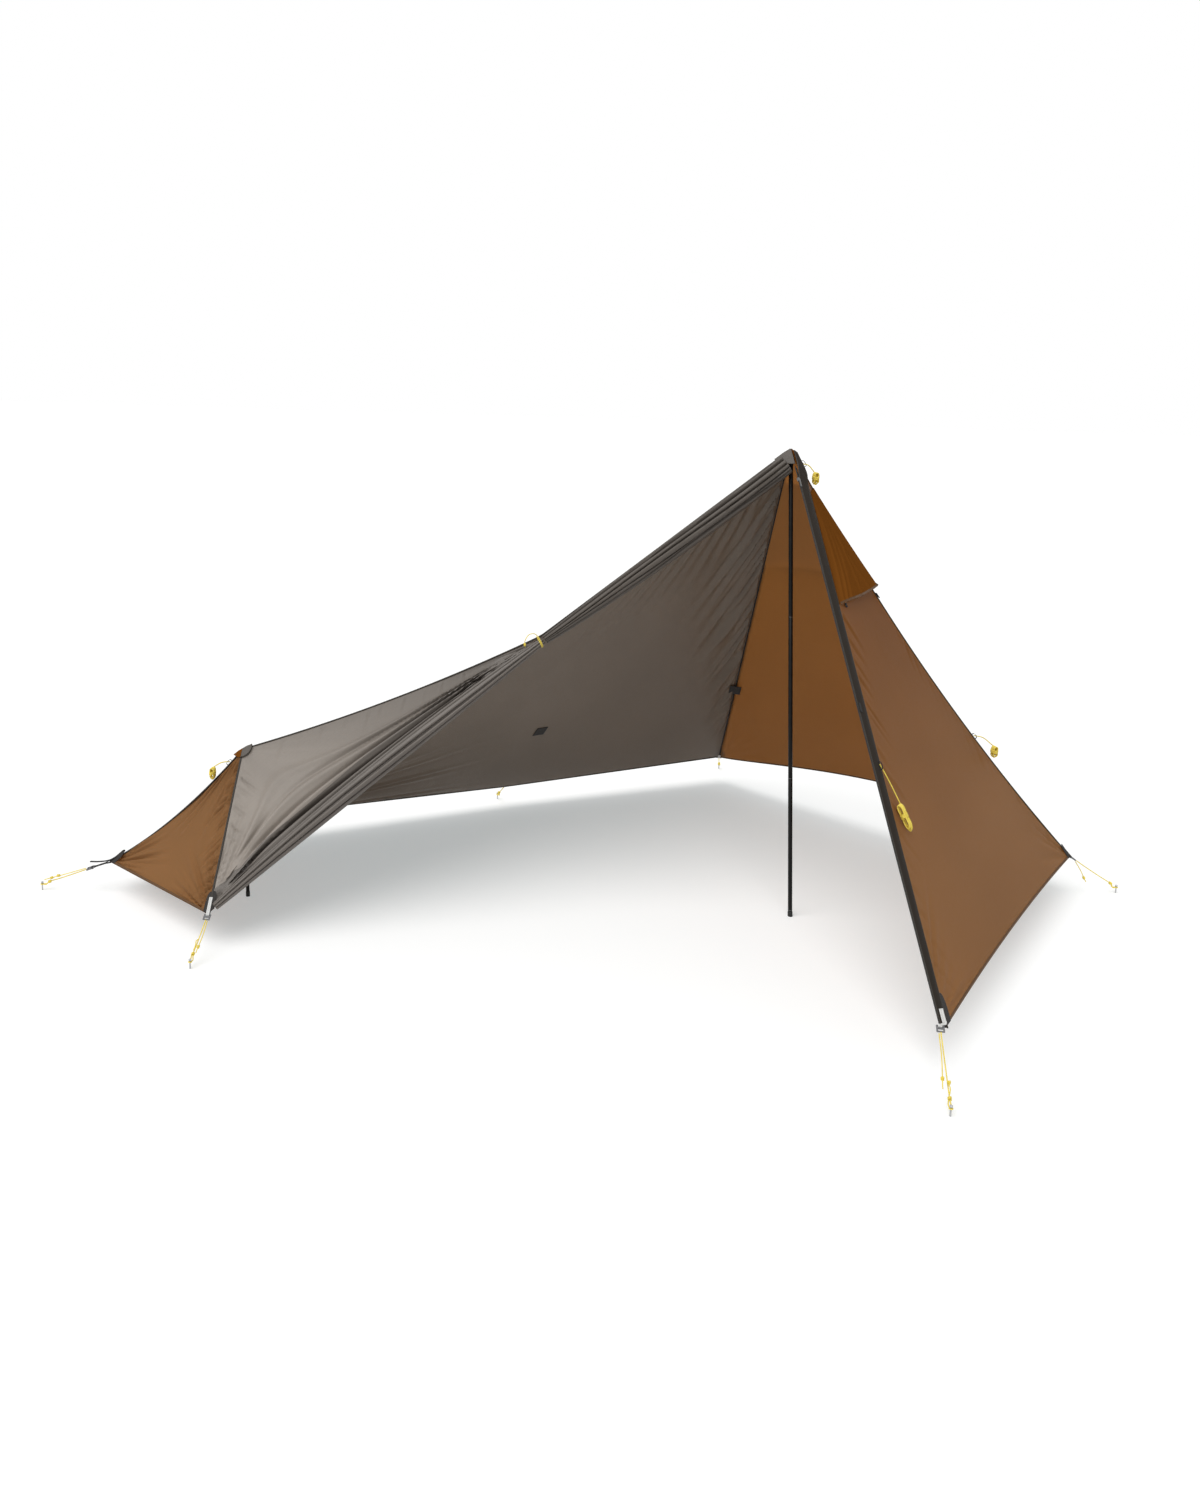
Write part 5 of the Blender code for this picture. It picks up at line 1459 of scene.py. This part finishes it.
def rubber_foot(name, radius, top, length, place, way, body, node):
    """A rubber foot, cut flat where it stands on the ground."""
    low = -length - radius
    outline = [(0.0, top), (radius * 0.92, top), (radius, top - 0.002), (radius, low), (0.0, low)]
    made = turned(name, rounded(outline, ROUNDING), place, way, *RUBBER, body, (node,))
    shape = bmesh.new()
    shape.from_mesh(made.data)
    cut = bmesh.ops.bisect_plane(
        shape, geom=shape.verts[:] + shape.edges[:] + shape.faces[:], plane_co=(0.0, 0.0, 0.0002),
        plane_no=(0.0, 0.0, 1.0), clear_inner=True)
    rim = [item for item in cut["geom_cut"] if isinstance(item, bmesh.types.BMEdge)]
    bmesh.ops.edgeloop_fill(shape, edges=rim)
    bmesh.ops.recalc_face_normals(shape, faces=shape.faces)
    shape.to_mesh(made.data)
    shape.free()


rubber_foot(
    "main_pole_rubber", 0.0068, foot_top, total, centre, lean, "main_pole_low", "main_pole_foot")
print("main pole is", round(total, 3), "m long below its tip's centre")

# %% Foot pole
ROD = 0.0050
drop = PIVOT_DROP * FOOT_TIP_RADIUS / TIP_RADIUS
lean, cup_place, centre, total = pole_line(foot_peak, Vector((-0.991, -0.035, 0.0)), drop)
cup_shape("foot_pole_cup_rubber", 0.0099, 0.0058, drop, cup_place, "foot_pole_cup")
foot_top = -(total - FOOT_LENGTH)
outline = [(0.0, FOOT_TIP_RADIUS)] + ball_profile(FOOT_TIP_RADIUS, math.pi / 2.0, 10) + [
    (FOOT_TIP_RADIUS, -0.010), (ROD, -0.0102), (ROD, foot_top + GAP), (0.0, foot_top + GAP)]
turned(
    "foot_pole_rod", outline, centre, lean, pole_black, "pole_black", "foot_pole_body",
    ("foot_pole",))
rubber_foot(
    "foot_pole_rubber", 0.0058, foot_top, total, centre, lean, "foot_pole_body", "foot_pole_foot")

# %% [markdown]
# At each corner a webbing strap comes out of the seam, goes round the first bar of a small plastic
# plate and back under the corner. At the foot tip the plate stands 50 mm off the cloth instead. The
# cord is pinched in the plate's second slot. It runs down to the peg, round it, and is knotted on
# itself. Spare ends hang from some of the plates and knots.


# %% Corner plates and straps
LOCK_LENGTH, LOCK_WIDTH, LOCK_THICKNESS = 0.017, 0.018, 0.0040
LOCK_BARS = (0.0, 0.15, 0.38, 0.56, 0.85, 1.0)
BAR_MIDDLE = 0.265
LOCK_SIDES = (-0.5, -0.32, 0.32, 0.5)
HOOK_HEIGHT, PATCH_LIFT = 0.018, 0.0012


def corner_frame(tip, peg):
    """The ways along, across and out of the line from a corner to its peg."""
    along = unit(Vector((*peg, HOOK_HEIGHT)) - tip)
    level = unit(along.cross(UP))
    return along, level, unit(level.cross(along))


def lock_plate(name, start, along, level, node):
    """A grid with uneven rows. The two cells left out are the slots."""
    shape = bmesh.new()
    sides, bars = len(LOCK_SIDES) - 1, len(LOCK_BARS) - 1
    bmesh.ops.create_grid(shape, x_segments=sides, y_segments=bars, size=1.0)
    cells = {}
    for vert in shape.verts:
        side = round((vert.co.x + 1.0) / 2.0 * sides)
        bar = round((vert.co.y + 1.0) / 2.0 * bars)
        cells[vert] = (side, bar)
        aside = level * (LOCK_WIDTH * LOCK_SIDES[side])
        vert.co = start + along * (LOCK_LENGTH * LOCK_BARS[bar]) + aside
    slots = [
        face for face in shape.faces
        if min(cells[vert] for vert in face.verts) in ((1, 1), (1, 3))]
    bmesh.ops.delete(shape, geom=slots, context="FACES")
    made = add_piece(name, shape, grey_plastic, (node,), thickness=LOCK_THICKNESS)
    soft = made.modifiers.new("Edges", "BEVEL")
    soft.width = 0.0008
    soft.segments = 3
    soft.limit_method = "ANGLE"


def facing_from(points, level):
    """Out of a strap's bend at each point. level runs across the strap."""
    return lambda place: level.cross(way_at(points, place))


def strap(name, seam, start, along, level, out, reach, finish, free, aside):
    """Webbing from along the seam, round the plate's first bar and back under the corner.

    free is how far the plate stands off the corner. aside is where a strap beside its seam lies.
    """
    length = (seam(1.0) - seam(0.0)).length
    back = [seam(1.0 - reach * share / length) for share in (1.0, 0.75, 0.5, 0.25, 0.08)]
    lift = square_to(out, unit(seam(1.0) - seam(1.0 - 0.05 / length))) * 0.0036
    room, turn, slack = out * 0.0029, out * 0.0012, out * 0.0008
    bar = start + along * (LOCK_LENGTH * BAR_MIDDLE)
    before = start + along * (LOCK_LENGTH * BAR_MIDDLE * 0.55)
    close = [start - along * (free * share) for share in (0.75, 0.5, 0.2)] if free else []
    route = [point + (lift if aside is None else aside) for point in back]
    route += [point + slack for point in close]
    route += [start + room, before + room, bar + turn, bar - turn, before - room, start - room]
    route += [point - slack for point in close[::-1]]
    route += [point - lift for point in back[:1:-1]] if aside is None else []
    points = smooth_route(route, 0.0015)
    width, stands_for = (0.0104, (f"strap_{name}",)) if free else (0.0090, ())
    facing = facing_from(points, level)
    band(f"{name}_strap", points, facing, width, 0.0011, finish, stands_for=stands_for)


def sewn_patch(name, surface, across, down, out, sheet_name):
    """Dark cloth sewn on a panel."""
    shape = sheet_shape(surface, across, down, (), out)
    made = add_piece(name, shape, dark_patch, thickness=0.0010)
    trims.setdefault(sheet_name, []).append(made)


def corner_patch(name, corner, one, two, length, width, out, sheet_name):
    """A rounded patch on a panel's corner, along two of its edges."""
    first, second = unit(one - corner), unit(two - corner)

    def at(across, down):
        narrow = max(0.02, (1.0 - down ** 3.0) ** 0.5)
        aside = second * (width * across * narrow)
        return corner + first * (length * down) + aside + out * PATCH_LIFT

    sewn_patch(name, at, 16, 24, out, sheet_name)


# %% [markdown]
# A cord's line is a smooth route through a few points. The sweep's section is a circle, and its UV
# map runs in metres along and around, so the braid on it keeps its pitch.


# %% Cords
CORD_RADIUS, TAIL_RADIUS, CORD_RING = 0.0014, 0.0012, 0.0037
KNOT_TURNS, KNOT_STEPS = 2.4, 14


def cord_piece(name, points, stands_for=(), radius=CORD_RADIUS):
    shape = sweep_shape(points, free_frames(points), ring_of(radius * 2.0, radius * 2.0, 10))
    return add_piece(name, shape, yellow_cord, stands_for)


def declare_cord(piece, points):
    length = run_length(points)
    print(f"{piece.name}: {length * 1000.0:.0f} mm of cord")


def knot(name, place, along, size=0.0026):
    """A few tight turns round a cord."""
    side = unit(along.orthogonal())
    up = along.cross(side)
    points = []
    for step in range(int(KNOT_TURNS * KNOT_STEPS) + 1):
        angle = math.tau * step / KNOT_STEPS
        shift = (step / (KNOT_TURNS * KNOT_STEPS) - 0.5) * KNOT_TURNS * 0.0030
        spoke = side * math.cos(angle) + up * math.sin(angle)
        points.append(place + along * shift + spoke * size)
    return cord_piece(name, points)


def peg_cord(name, start, peg, node):
    """From a corner to the peg, round its shaft and back to a knot."""
    hook = Vector((*peg, HOOK_HEIGHT))
    along = unit(hook - start)
    flat = unit(Vector((along.x, along.y, 0.0)))
    beside = Vector((-flat.y, flat.x, 0.0))
    stop = hook - along * 0.024
    sag = DOWN * 0.0008
    route = [start, start.lerp(stop, 0.35) + sag, start.lerp(stop, 0.7) + sag, stop,
             hook - flat * 0.012 + beside * 0.0026]
    for turn in steps(8, math.radians(-60.0), math.radians(240.0)):
        route.append(
            hook + beside * (CORD_RING * math.cos(turn)) + flat * (CORD_RING * math.sin(turn)))
    route += [hook - flat * 0.012 - beside * 0.0034, stop + along * 0.0050 - beside * 0.0026]
    points = smooth_route(route, 0.0022)
    made = cord_piece(name, points, (node,))
    tied = knot(name + "_knot", stop + along * 0.001, along, 0.0032)
    declare_cord(made, points)
    return stop, along, beside


def cord_tail(name, route, knots):
    """A spare end. knots are the places along it where it is knotted."""
    points = smooth_route(route, 0.0024)
    made = cord_piece(name, points, radius=TAIL_RADIUS)
    for number, place in enumerate(knots):
        index = min(max(int(place * (len(points) - 1)), 1), len(points) - 2)
        knot(f"{name}_knot_{number}", points[index], way_at(points, index))
    declare_cord(made, points)


# %% Corners
TAIL_LENGTH = 0.030
tails = {"head_near": (0.004, (0.8,)), "foot_tip": (0.003, (0.8,)), "foot_near": (0.006, ())}
spare_ends = {
    "head_near": ((-0.0045, 0.0, 0.0), "knot", (-0.018, 0.0, 0.031)),
    "head_tip": ((0.0, 0.0, -0.0045), "plate", (0.034, -0.004, -0.058)),
    "foot_tip": ((0.0, -0.0010, 0.0042), "knot", (-0.004, -0.0020, 0.0090)),
    "foot_near": ((0.0045, 0.0, 0.0), "knot", (0.010, 0.0, 0.012))}
for name, tip, seam, half, finish, reach, length in (
        ("head_tip", head_tip, head_ridge, SEAM_RADIUS, black_webbing, 0.030, 0.0),
        ("head_near", head_near, near_edge, 0.0007, pale_webbing, 0.034, 0.0),
        ("head_far", head_far, far_edge, 0.0022, pale_webbing, 0.034, 0.0),
        ("foot_near", foot_near, foot_edge_near, SEAM_RADIUS, pale_webbing, 0.044, 0.0),
        ("foot_far", foot_far, foot_edge_far, SEAM_RADIUS + 0.0014, pale_webbing, 0.044, 0.0),
        ("foot_tip", foot_tip, foot_ridge, SEAM_RADIUS, black_webbing, 0.034, 0.050)):
    along, level, out = corner_frame(tip, PEGS[name])
    into = unit(tip - seam(0.98))
    start = tip + along * (half * into.cross(along).length + GAP * 1.5)
    if length:
        loose = smooth_route([
            seam(0.93) + out * 0.0052, tip + out * 0.0048,
            start + unit(along + out * 0.25) * 0.028 + out * 0.003,
            start + unit(along + out * 0.36) * 0.054], 0.002)
        band(f"{name}_loose_strap", loose, facing_from(loose, level), 0.0100, 0.0012, finish)
        start += along * (length + GAP)
    lock_plate(f"{name}_plate", start, along, level, f"line_lock_{name}")
    aside = edge_in * 0.0085 + edge_out * 0.0078 if name == "head_near" else None
    strap(name, seam, start, along, level, out, reach, finish, length, aside)
    leaves = start + along * (LOCK_LENGTH + GAP)
    stop, way, beside = peg_cord(f"{name}_cord", leaves, PEGS[name], f"cord_{name}")
    if name in tails:
        up, knots = tails[name]
        first = stop - way * 0.002 + UP * 0.0060
        cord_tail(f"{name}_tail", [
            first, first - way * (TAIL_LENGTH * 0.35) + UP * (up * 0.9) + beside * 0.002,
            first - way * (TAIL_LENGTH * 0.7) + UP * up,
            first - way * TAIL_LENGTH + UP * (up * 0.55) + beside * 0.004], knots)
    if name in spare_ends:
        nudge, origin, reach_out = spare_ends[name]
        first = leaves + along * 0.003 + Vector(nudge)
        last = (stop if origin == "knot" else leaves) + Vector(reach_out)
        cord_tail(f"{name}_spare_end", [
            first, first.lerp(last, 0.5) + Vector((0.002, 0.0, 0.0)), last,
            last + unit(last - first) * 0.012], (0.82,))

toward = corner_frame(wall_middle, PEGS["wall"])[0]
peg_cord("wall_cord", wall_middle + toward * 0.0008, PEGS["wall"], "cord_wall")

near_lift, far_lift = (unit(Vector((-0.45, side, 0.66))) for side in (-0.6, 0.6))
foot_size, tip_size, far_size = (0.060, 0.020), (0.050, 0.022), (0.050, 0.024)
for name, corner, one, two, size, out, panel_name in (
        ("near_corner", foot_near, foot_peak, tie_point, foot_size, gather_out, "gathered_door"),
        ("near_foot", foot_near, foot_peak, foot_tip, foot_size, near_lift, "near_foot"),
        ("foot_tip_near", foot_tip, foot_peak, foot_near, tip_size, near_lift, "near_foot"),
        ("foot_tip_far", foot_tip, foot_peak, foot_far, tip_size, far_lift, "far_foot"),
        ("far_foot", foot_far, foot_peak, foot_tip, foot_size, far_lift, "far_foot"),
        ("far_corner", foot_far, foot_peak, wall_middle, foot_size, far_out, "far_wall"),
        ("near_head", flap_line(1.0), main_peak, head_tip, (0.070, 0.026), edge_out, "near_head"),
        ("head_tip_near", head_tip, main_peak, head_near, (0.050, 0.020), edge_out, "near_head"),
        ("far_head", head_far, main_peak, head_tip, far_size, far_side_out, "far_head"),
        ("far_wall", head_far, main_peak, wall_middle, far_size, far_out, "far_wall")):
    corner_patch(f"{name}_patch", corner, one, two, *size, out, f"{panel_name}_cloth")

# %% Pegs
outline = rounded([
    (0.0, 0.0), (0.0020, 0.0), (0.0020, 0.0198), (0.0034, 0.0210), (0.0034, 0.0247),
    (0.0024, 0.0255), (0.0, 0.0255)], 0.0004)
for name, peg in PEGS.items():
    turned(
        f"{name}_pin", outline, (*peg, 0.0), DOWN, peg_metal, "grey_aluminium",
        f"peg_{name}_body", (f"peg_{name}",), 32)

# %% [markdown]
# Spare guy cord is wound into hanks: a lead from its loop, five and a half turns a few centimetres
# long, and a few turns round the waist to finish it. Most of them hang on the seams.


# %% Hanks
HANK_WIDTH, HANK_PITCH, HANK_SHORT, HANK_LONG = 0.016, 0.0033, 0.030, 0.062
HANK_TURNS, TURN_STEPS = 5.5, 20
WAIST_TURNS, WAIST_STEPS = 3.0, 24


def hank(name, lead, across, fall, height, node):
    """Loops of cord that hang from the end of a lead, and turns that draw in their waist."""
    across, fall = unit(across), unit(fall)
    side = unit(across.cross(fall))
    points = smooth_route(lead, 0.0030)
    top = points[-1]
    for place in range(1, int(HANK_TURNS * TURN_STEPS) + 1):
        angle = math.tau * place / TURN_STEPS
        part = (1.0 - math.cos(angle)) / 2.0
        pinch = 1.0 - 0.42 * math.sin(math.pi * part) ** 2
        reach = height * (1.0 + 0.10 * math.sin(2.4 * (place // TURN_STEPS)))
        points.append(
            top + fall * (reach * part) + side * (HANK_WIDTH / 2.0 * math.sin(angle) * pinch)
            + across * (HANK_PITCH * place / TURN_STEPS))
    made = cord_piece(name, points, (node,))
    deep = HANK_PITCH * HANK_TURNS / 2.0
    middle = top + fall * (height * 0.46) + across * deep
    waist = []
    for place in range(int(WAIST_TURNS * WAIST_STEPS) + 1):
        angle = math.tau * place / WAIST_STEPS
        one = math.cos(angle) * (deep + CORD_RADIUS * 2.3)
        two = math.sin(angle) * (HANK_WIDTH * 0.29 + CORD_RADIUS * 2.3)
        shift = (place / (WAIST_TURNS * WAIST_STEPS) - 0.5) * WAIST_TURNS * 0.0031
        waist.append(middle + across * one + side * two + fall * shift)
    wrap = cord_piece(name + "_waist", waist)
    declare_cord(made, points)
    declare_cord(wrap, waist)


LOOP_PLACE, FOOT_LOOP_PLACE = 0.67, 0.09
room = SEAM_RADIUS + GAP + CORD_RADIUS
below_cap = main_peak + head_slope * (CAP_REACH + GAP + CORD_RADIUS * 0.85)
one, two = steps(5, SEAM_START)[:2]
foot_slope = unit(foot_ridge(two) - foot_ridge(one))
foot_out = Vector((foot_slope.z, 0.0, -foot_slope.x))
foot_seam = foot_ridge(one).lerp(foot_ridge(two), (FOOT_LOOP_PLACE - one) / (two - one))
for place_name, start, first, second, turned_by in (
        ("main_peak", below_cap + ridge_out * (room + GAP),
         (0.016, -0.002, -0.004), (0.032, -0.006, -0.022), 0.2),
        ("head_ridge", head_ridge(LOOP_PLACE) + ridge_out * room,
         (0.028, -0.001, -0.006), (0.058, -0.004, -0.028), 0.2),
        ("foot_peak", foot_seam + foot_out * (room - GAP * 2.0),
         (-0.022, -0.002, -0.002), (-0.044, -0.004, -0.014), -0.2)):
    lead = [start, start + Vector(first), start + Vector(second)]
    across = Vector((turned_by, -1.0, 0.0))
    hank(f"{place_name}_hank", lead, across, DOWN, HANK_SHORT, f"hank_{place_name}")
out = surface_out(head_near_surface, 0.04, 0.60)
fall = square_to(DOWN, out)
start = flap_line(0.60, 0.65) + out * (0.0007 + GAP * 1.5 + CORD_RADIUS)
stand_off = HANK_WIDTH / 2.0 + CORD_RADIUS
away = out * stand_off
lead = [start + out * 0.004, start + fall * 0.045 + away * 0.8, start + fall * 0.105 + away]
hank("door_edge_hank", lead, fall.cross(out), fall, HANK_LONG, "hank_door_edge")
out = surface_out(far_wall_surface, 0.44, 0.655)
fall = square_to(DOWN, out)
start = far_wall_surface(0.44, 0.655) + out * (0.0005 + GAP * 3.0 + CORD_RADIUS)
lead = [start, start + fall * 0.016 + out * stand_off * 0.6, start + fall * 0.032 + out * stand_off]
hank("far_wall_hank", lead, fall.cross(out), fall, HANK_SHORT, "hank_wall_far")

# %% [markdown]
# The tie is a cord taken twice round the gathered cloth, with one end left long.

# %% Door tie
TIE_STEP, LAST_STEP = 12.0, 28
tie_side = pointing(unit((-door_hang).cross(gather_along)), -FAR)
tie_low = gather_start + gather_along * (TIE_SPACE * 3.0)
neck = bundle_radius(0.0105, GATHER_NECK, GATHER_MIDDLE) * LOOSE + GAP + TIE_CORD
tie_high = ridge(ridge_split + 0.006) + UP * (SEAM_RADIUS + TIE_CORD + GAP * 2.0)
bottom = tie_low + door_hang * neck
half_high = (tie_high - bottom).length / 2.0
tie_way = unit(tie_high - bottom)
knot_place = tie_high + tie_side * 0.0035


def tie_turn(heart, first):
    """Most of a turn round the bundle, on an ellipse."""
    angles = [math.radians(TIE_STEP * place) for place in range(first, LAST_STEP + 1)]
    return [
        heart + tie_way * (half_high * math.cos(angle)) + tie_side * (neck * math.sin(angle))
        for angle in angles]


heart = (tie_high + bottom) / 2.0
end = [knot_place + Vector(reach) for reach in (
    (-0.034, -0.014, -0.030), (-0.035, -0.012, -0.014), (-0.025, -0.008, 0.003),
    (-0.010, -0.003, 0.006), (0.0, 0.0, 0.0))]
points = smooth_route(end + tie_turn(heart, 3), 0.0022)
tie = cord_piece("door_tie_cord", points, ("door_tie",), TIE_CORD)
second = smooth_route(tie_turn(heart + gather_along * 0.0034, 2), 0.0022)
tie_again = cord_piece("door_tie_second_turn", second, (), TIE_CORD)
tie_knot = knot("door_tie_knot", points[3], way_at(points, 3), 0.0022)
declare_cord(tie, points[::-1])
declare_cord(tie_again, second[::-1])

# %% [markdown]
# Last come the sewn-on squares, four short webbing loops that hanks hang from, and three tabs.


# %% Squares, loops and tabs
def square_patch(name, place, level_way, fall_way, width, height, out):
    """A square on the far wall, beside the place where a guy cord starts."""
    def at(across, down):
        aside = level_way * (width * (across - 0.5))
        return place + aside + fall_way * (height * (down - 0.5)) + out * PATCH_LIFT

    sewn_patch(name, at, 12, 12, out, "far_wall_cloth")


wall_point = far_wall_surface(0.44, 0.638)
wall_facing = surface_out(far_wall_surface, 0.44, 0.638)
wall_fall = square_to(DOWN, wall_facing)
wall_side = wall_facing.cross(wall_fall)
square_patch("wall_square_inside", wall_point, wall_side, wall_fall, 0.040, 0.044, -wall_facing)
square_patch("wall_square_outside", wall_point, wall_side, wall_fall, 0.040, 0.044, wall_facing)
seam_facing = square_to(unit(Vector((-0.25, -0.93, -0.25))), seam_down)
square_patch(
    "far_seam_square", far_edge(0.7155) + seam_facing * 0.0150, seam_down.cross(seam_facing),
    seam_down, 0.038, 0.042, seam_facing)

LOOP_REACH = 0.007
ridge_way = unit(head_ridge(LOOP_PLACE + 0.01) - head_ridge(LOOP_PLACE - 0.01))
peak_seam = main_peak + head_slope * 0.045
flap_point = flap_line(0.60, 0.65) + edge_out * 0.004
for name, place, way, back, on, out, lift in (
        ("main_peak", peak_seam, head_slope, 0.0, 0.018, ridge_out, 0.004),
        ("head_ridge", head_ridge(LOOP_PLACE), ridge_way, 0.006, 0.010, ridge_out, 0.002),
        ("foot_peak", foot_ridge(FOOT_LOOP_PLACE), foot_slope, 0.006, 0.010, foot_out, 0.002),
        ("door_edge", flap_point, edge_along, 0.005, 0.014, edge_out, 0.001)):
    start = place - way * back + out * lift
    end = place + way * on + out * lift
    shoulder = out * LOOP_REACH * 0.7
    route = [start - out * 0.001, start + shoulder, (start + end) / 2.0 + out * LOOP_REACH,
             end + shoulder, end - out * 0.001]
    points = smooth_route(route, 0.0012)
    side = unit((end - start).cross(out))
    band(f"{name}_loop", points, facing_from(points, -side), 0.0045, 0.0010, black_webbing)

strut_out = surface_out(head_near_surface, 0.154, 0.296)
strut_point = head_near_surface(0.154, 0.296)
for name, place, way, half, out, width, height, count in (
        ("zip_flap_tab", flap_surface(0.50, 0.14) + edge_out * 0.0014, edge_along, 0.012,
         edge_out, 0.0110, 0.0016, 12),
        ("vent_strut_tab", strut_point + strut_out * 0.0035, square_to(DOWN, strut_out), 0.006,
         strut_out, 0.0120, 0.0030, 8),
        ("vent_ridge_tab", head_ridge(0.325) + ridge_out * 0.0042, head_slope, 0.008,
         ridge_out, 0.0090, 0.0026, 8)):
    points = [place + way * share for share in steps(count, -half, half)]
    band(name, points, out, width, height, black_webbing, square=5.0)

# %% [markdown]
# The solids that stay as they are, such as the zip sliders and the strut, take these finishes too.

# %% Finishes of the remaining solids
by_slot = {
    "grey_brown_fabric": grey_cloth, "brown_fabric": brown_cloth_with_painted_shade, "seam_tape": seam_binding,
    "vent_net": net_finish, "zip_flap_fabric": flap_cloth, "zip_plastic": zip_finish,
    "zip_metal": zip_metal,
    "pole_black": pole_black, "black_rubber": black_rubber, "black_elastic": black_elastic,
    "grey_plastic": grey_plastic, "grey_aluminium": peg_metal, "yellow_cord": yellow_cord}
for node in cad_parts.values():
    for place in range(len(node.material_slots)):
        old = node.material_slots[place].material
        key = old.name.split(".")[0] if old else "grey_brown_fabric"
        node.material_slots[place].material = by_slot[key].material

# %% [markdown]
# Each piece of cloth's flat size and area is printed.

for piece, width, length, rests_on, held, area in sheets:
    print(f"{piece.name}: flat {width:.2f} x {length:.2f} m, area {area:.3f} m2")
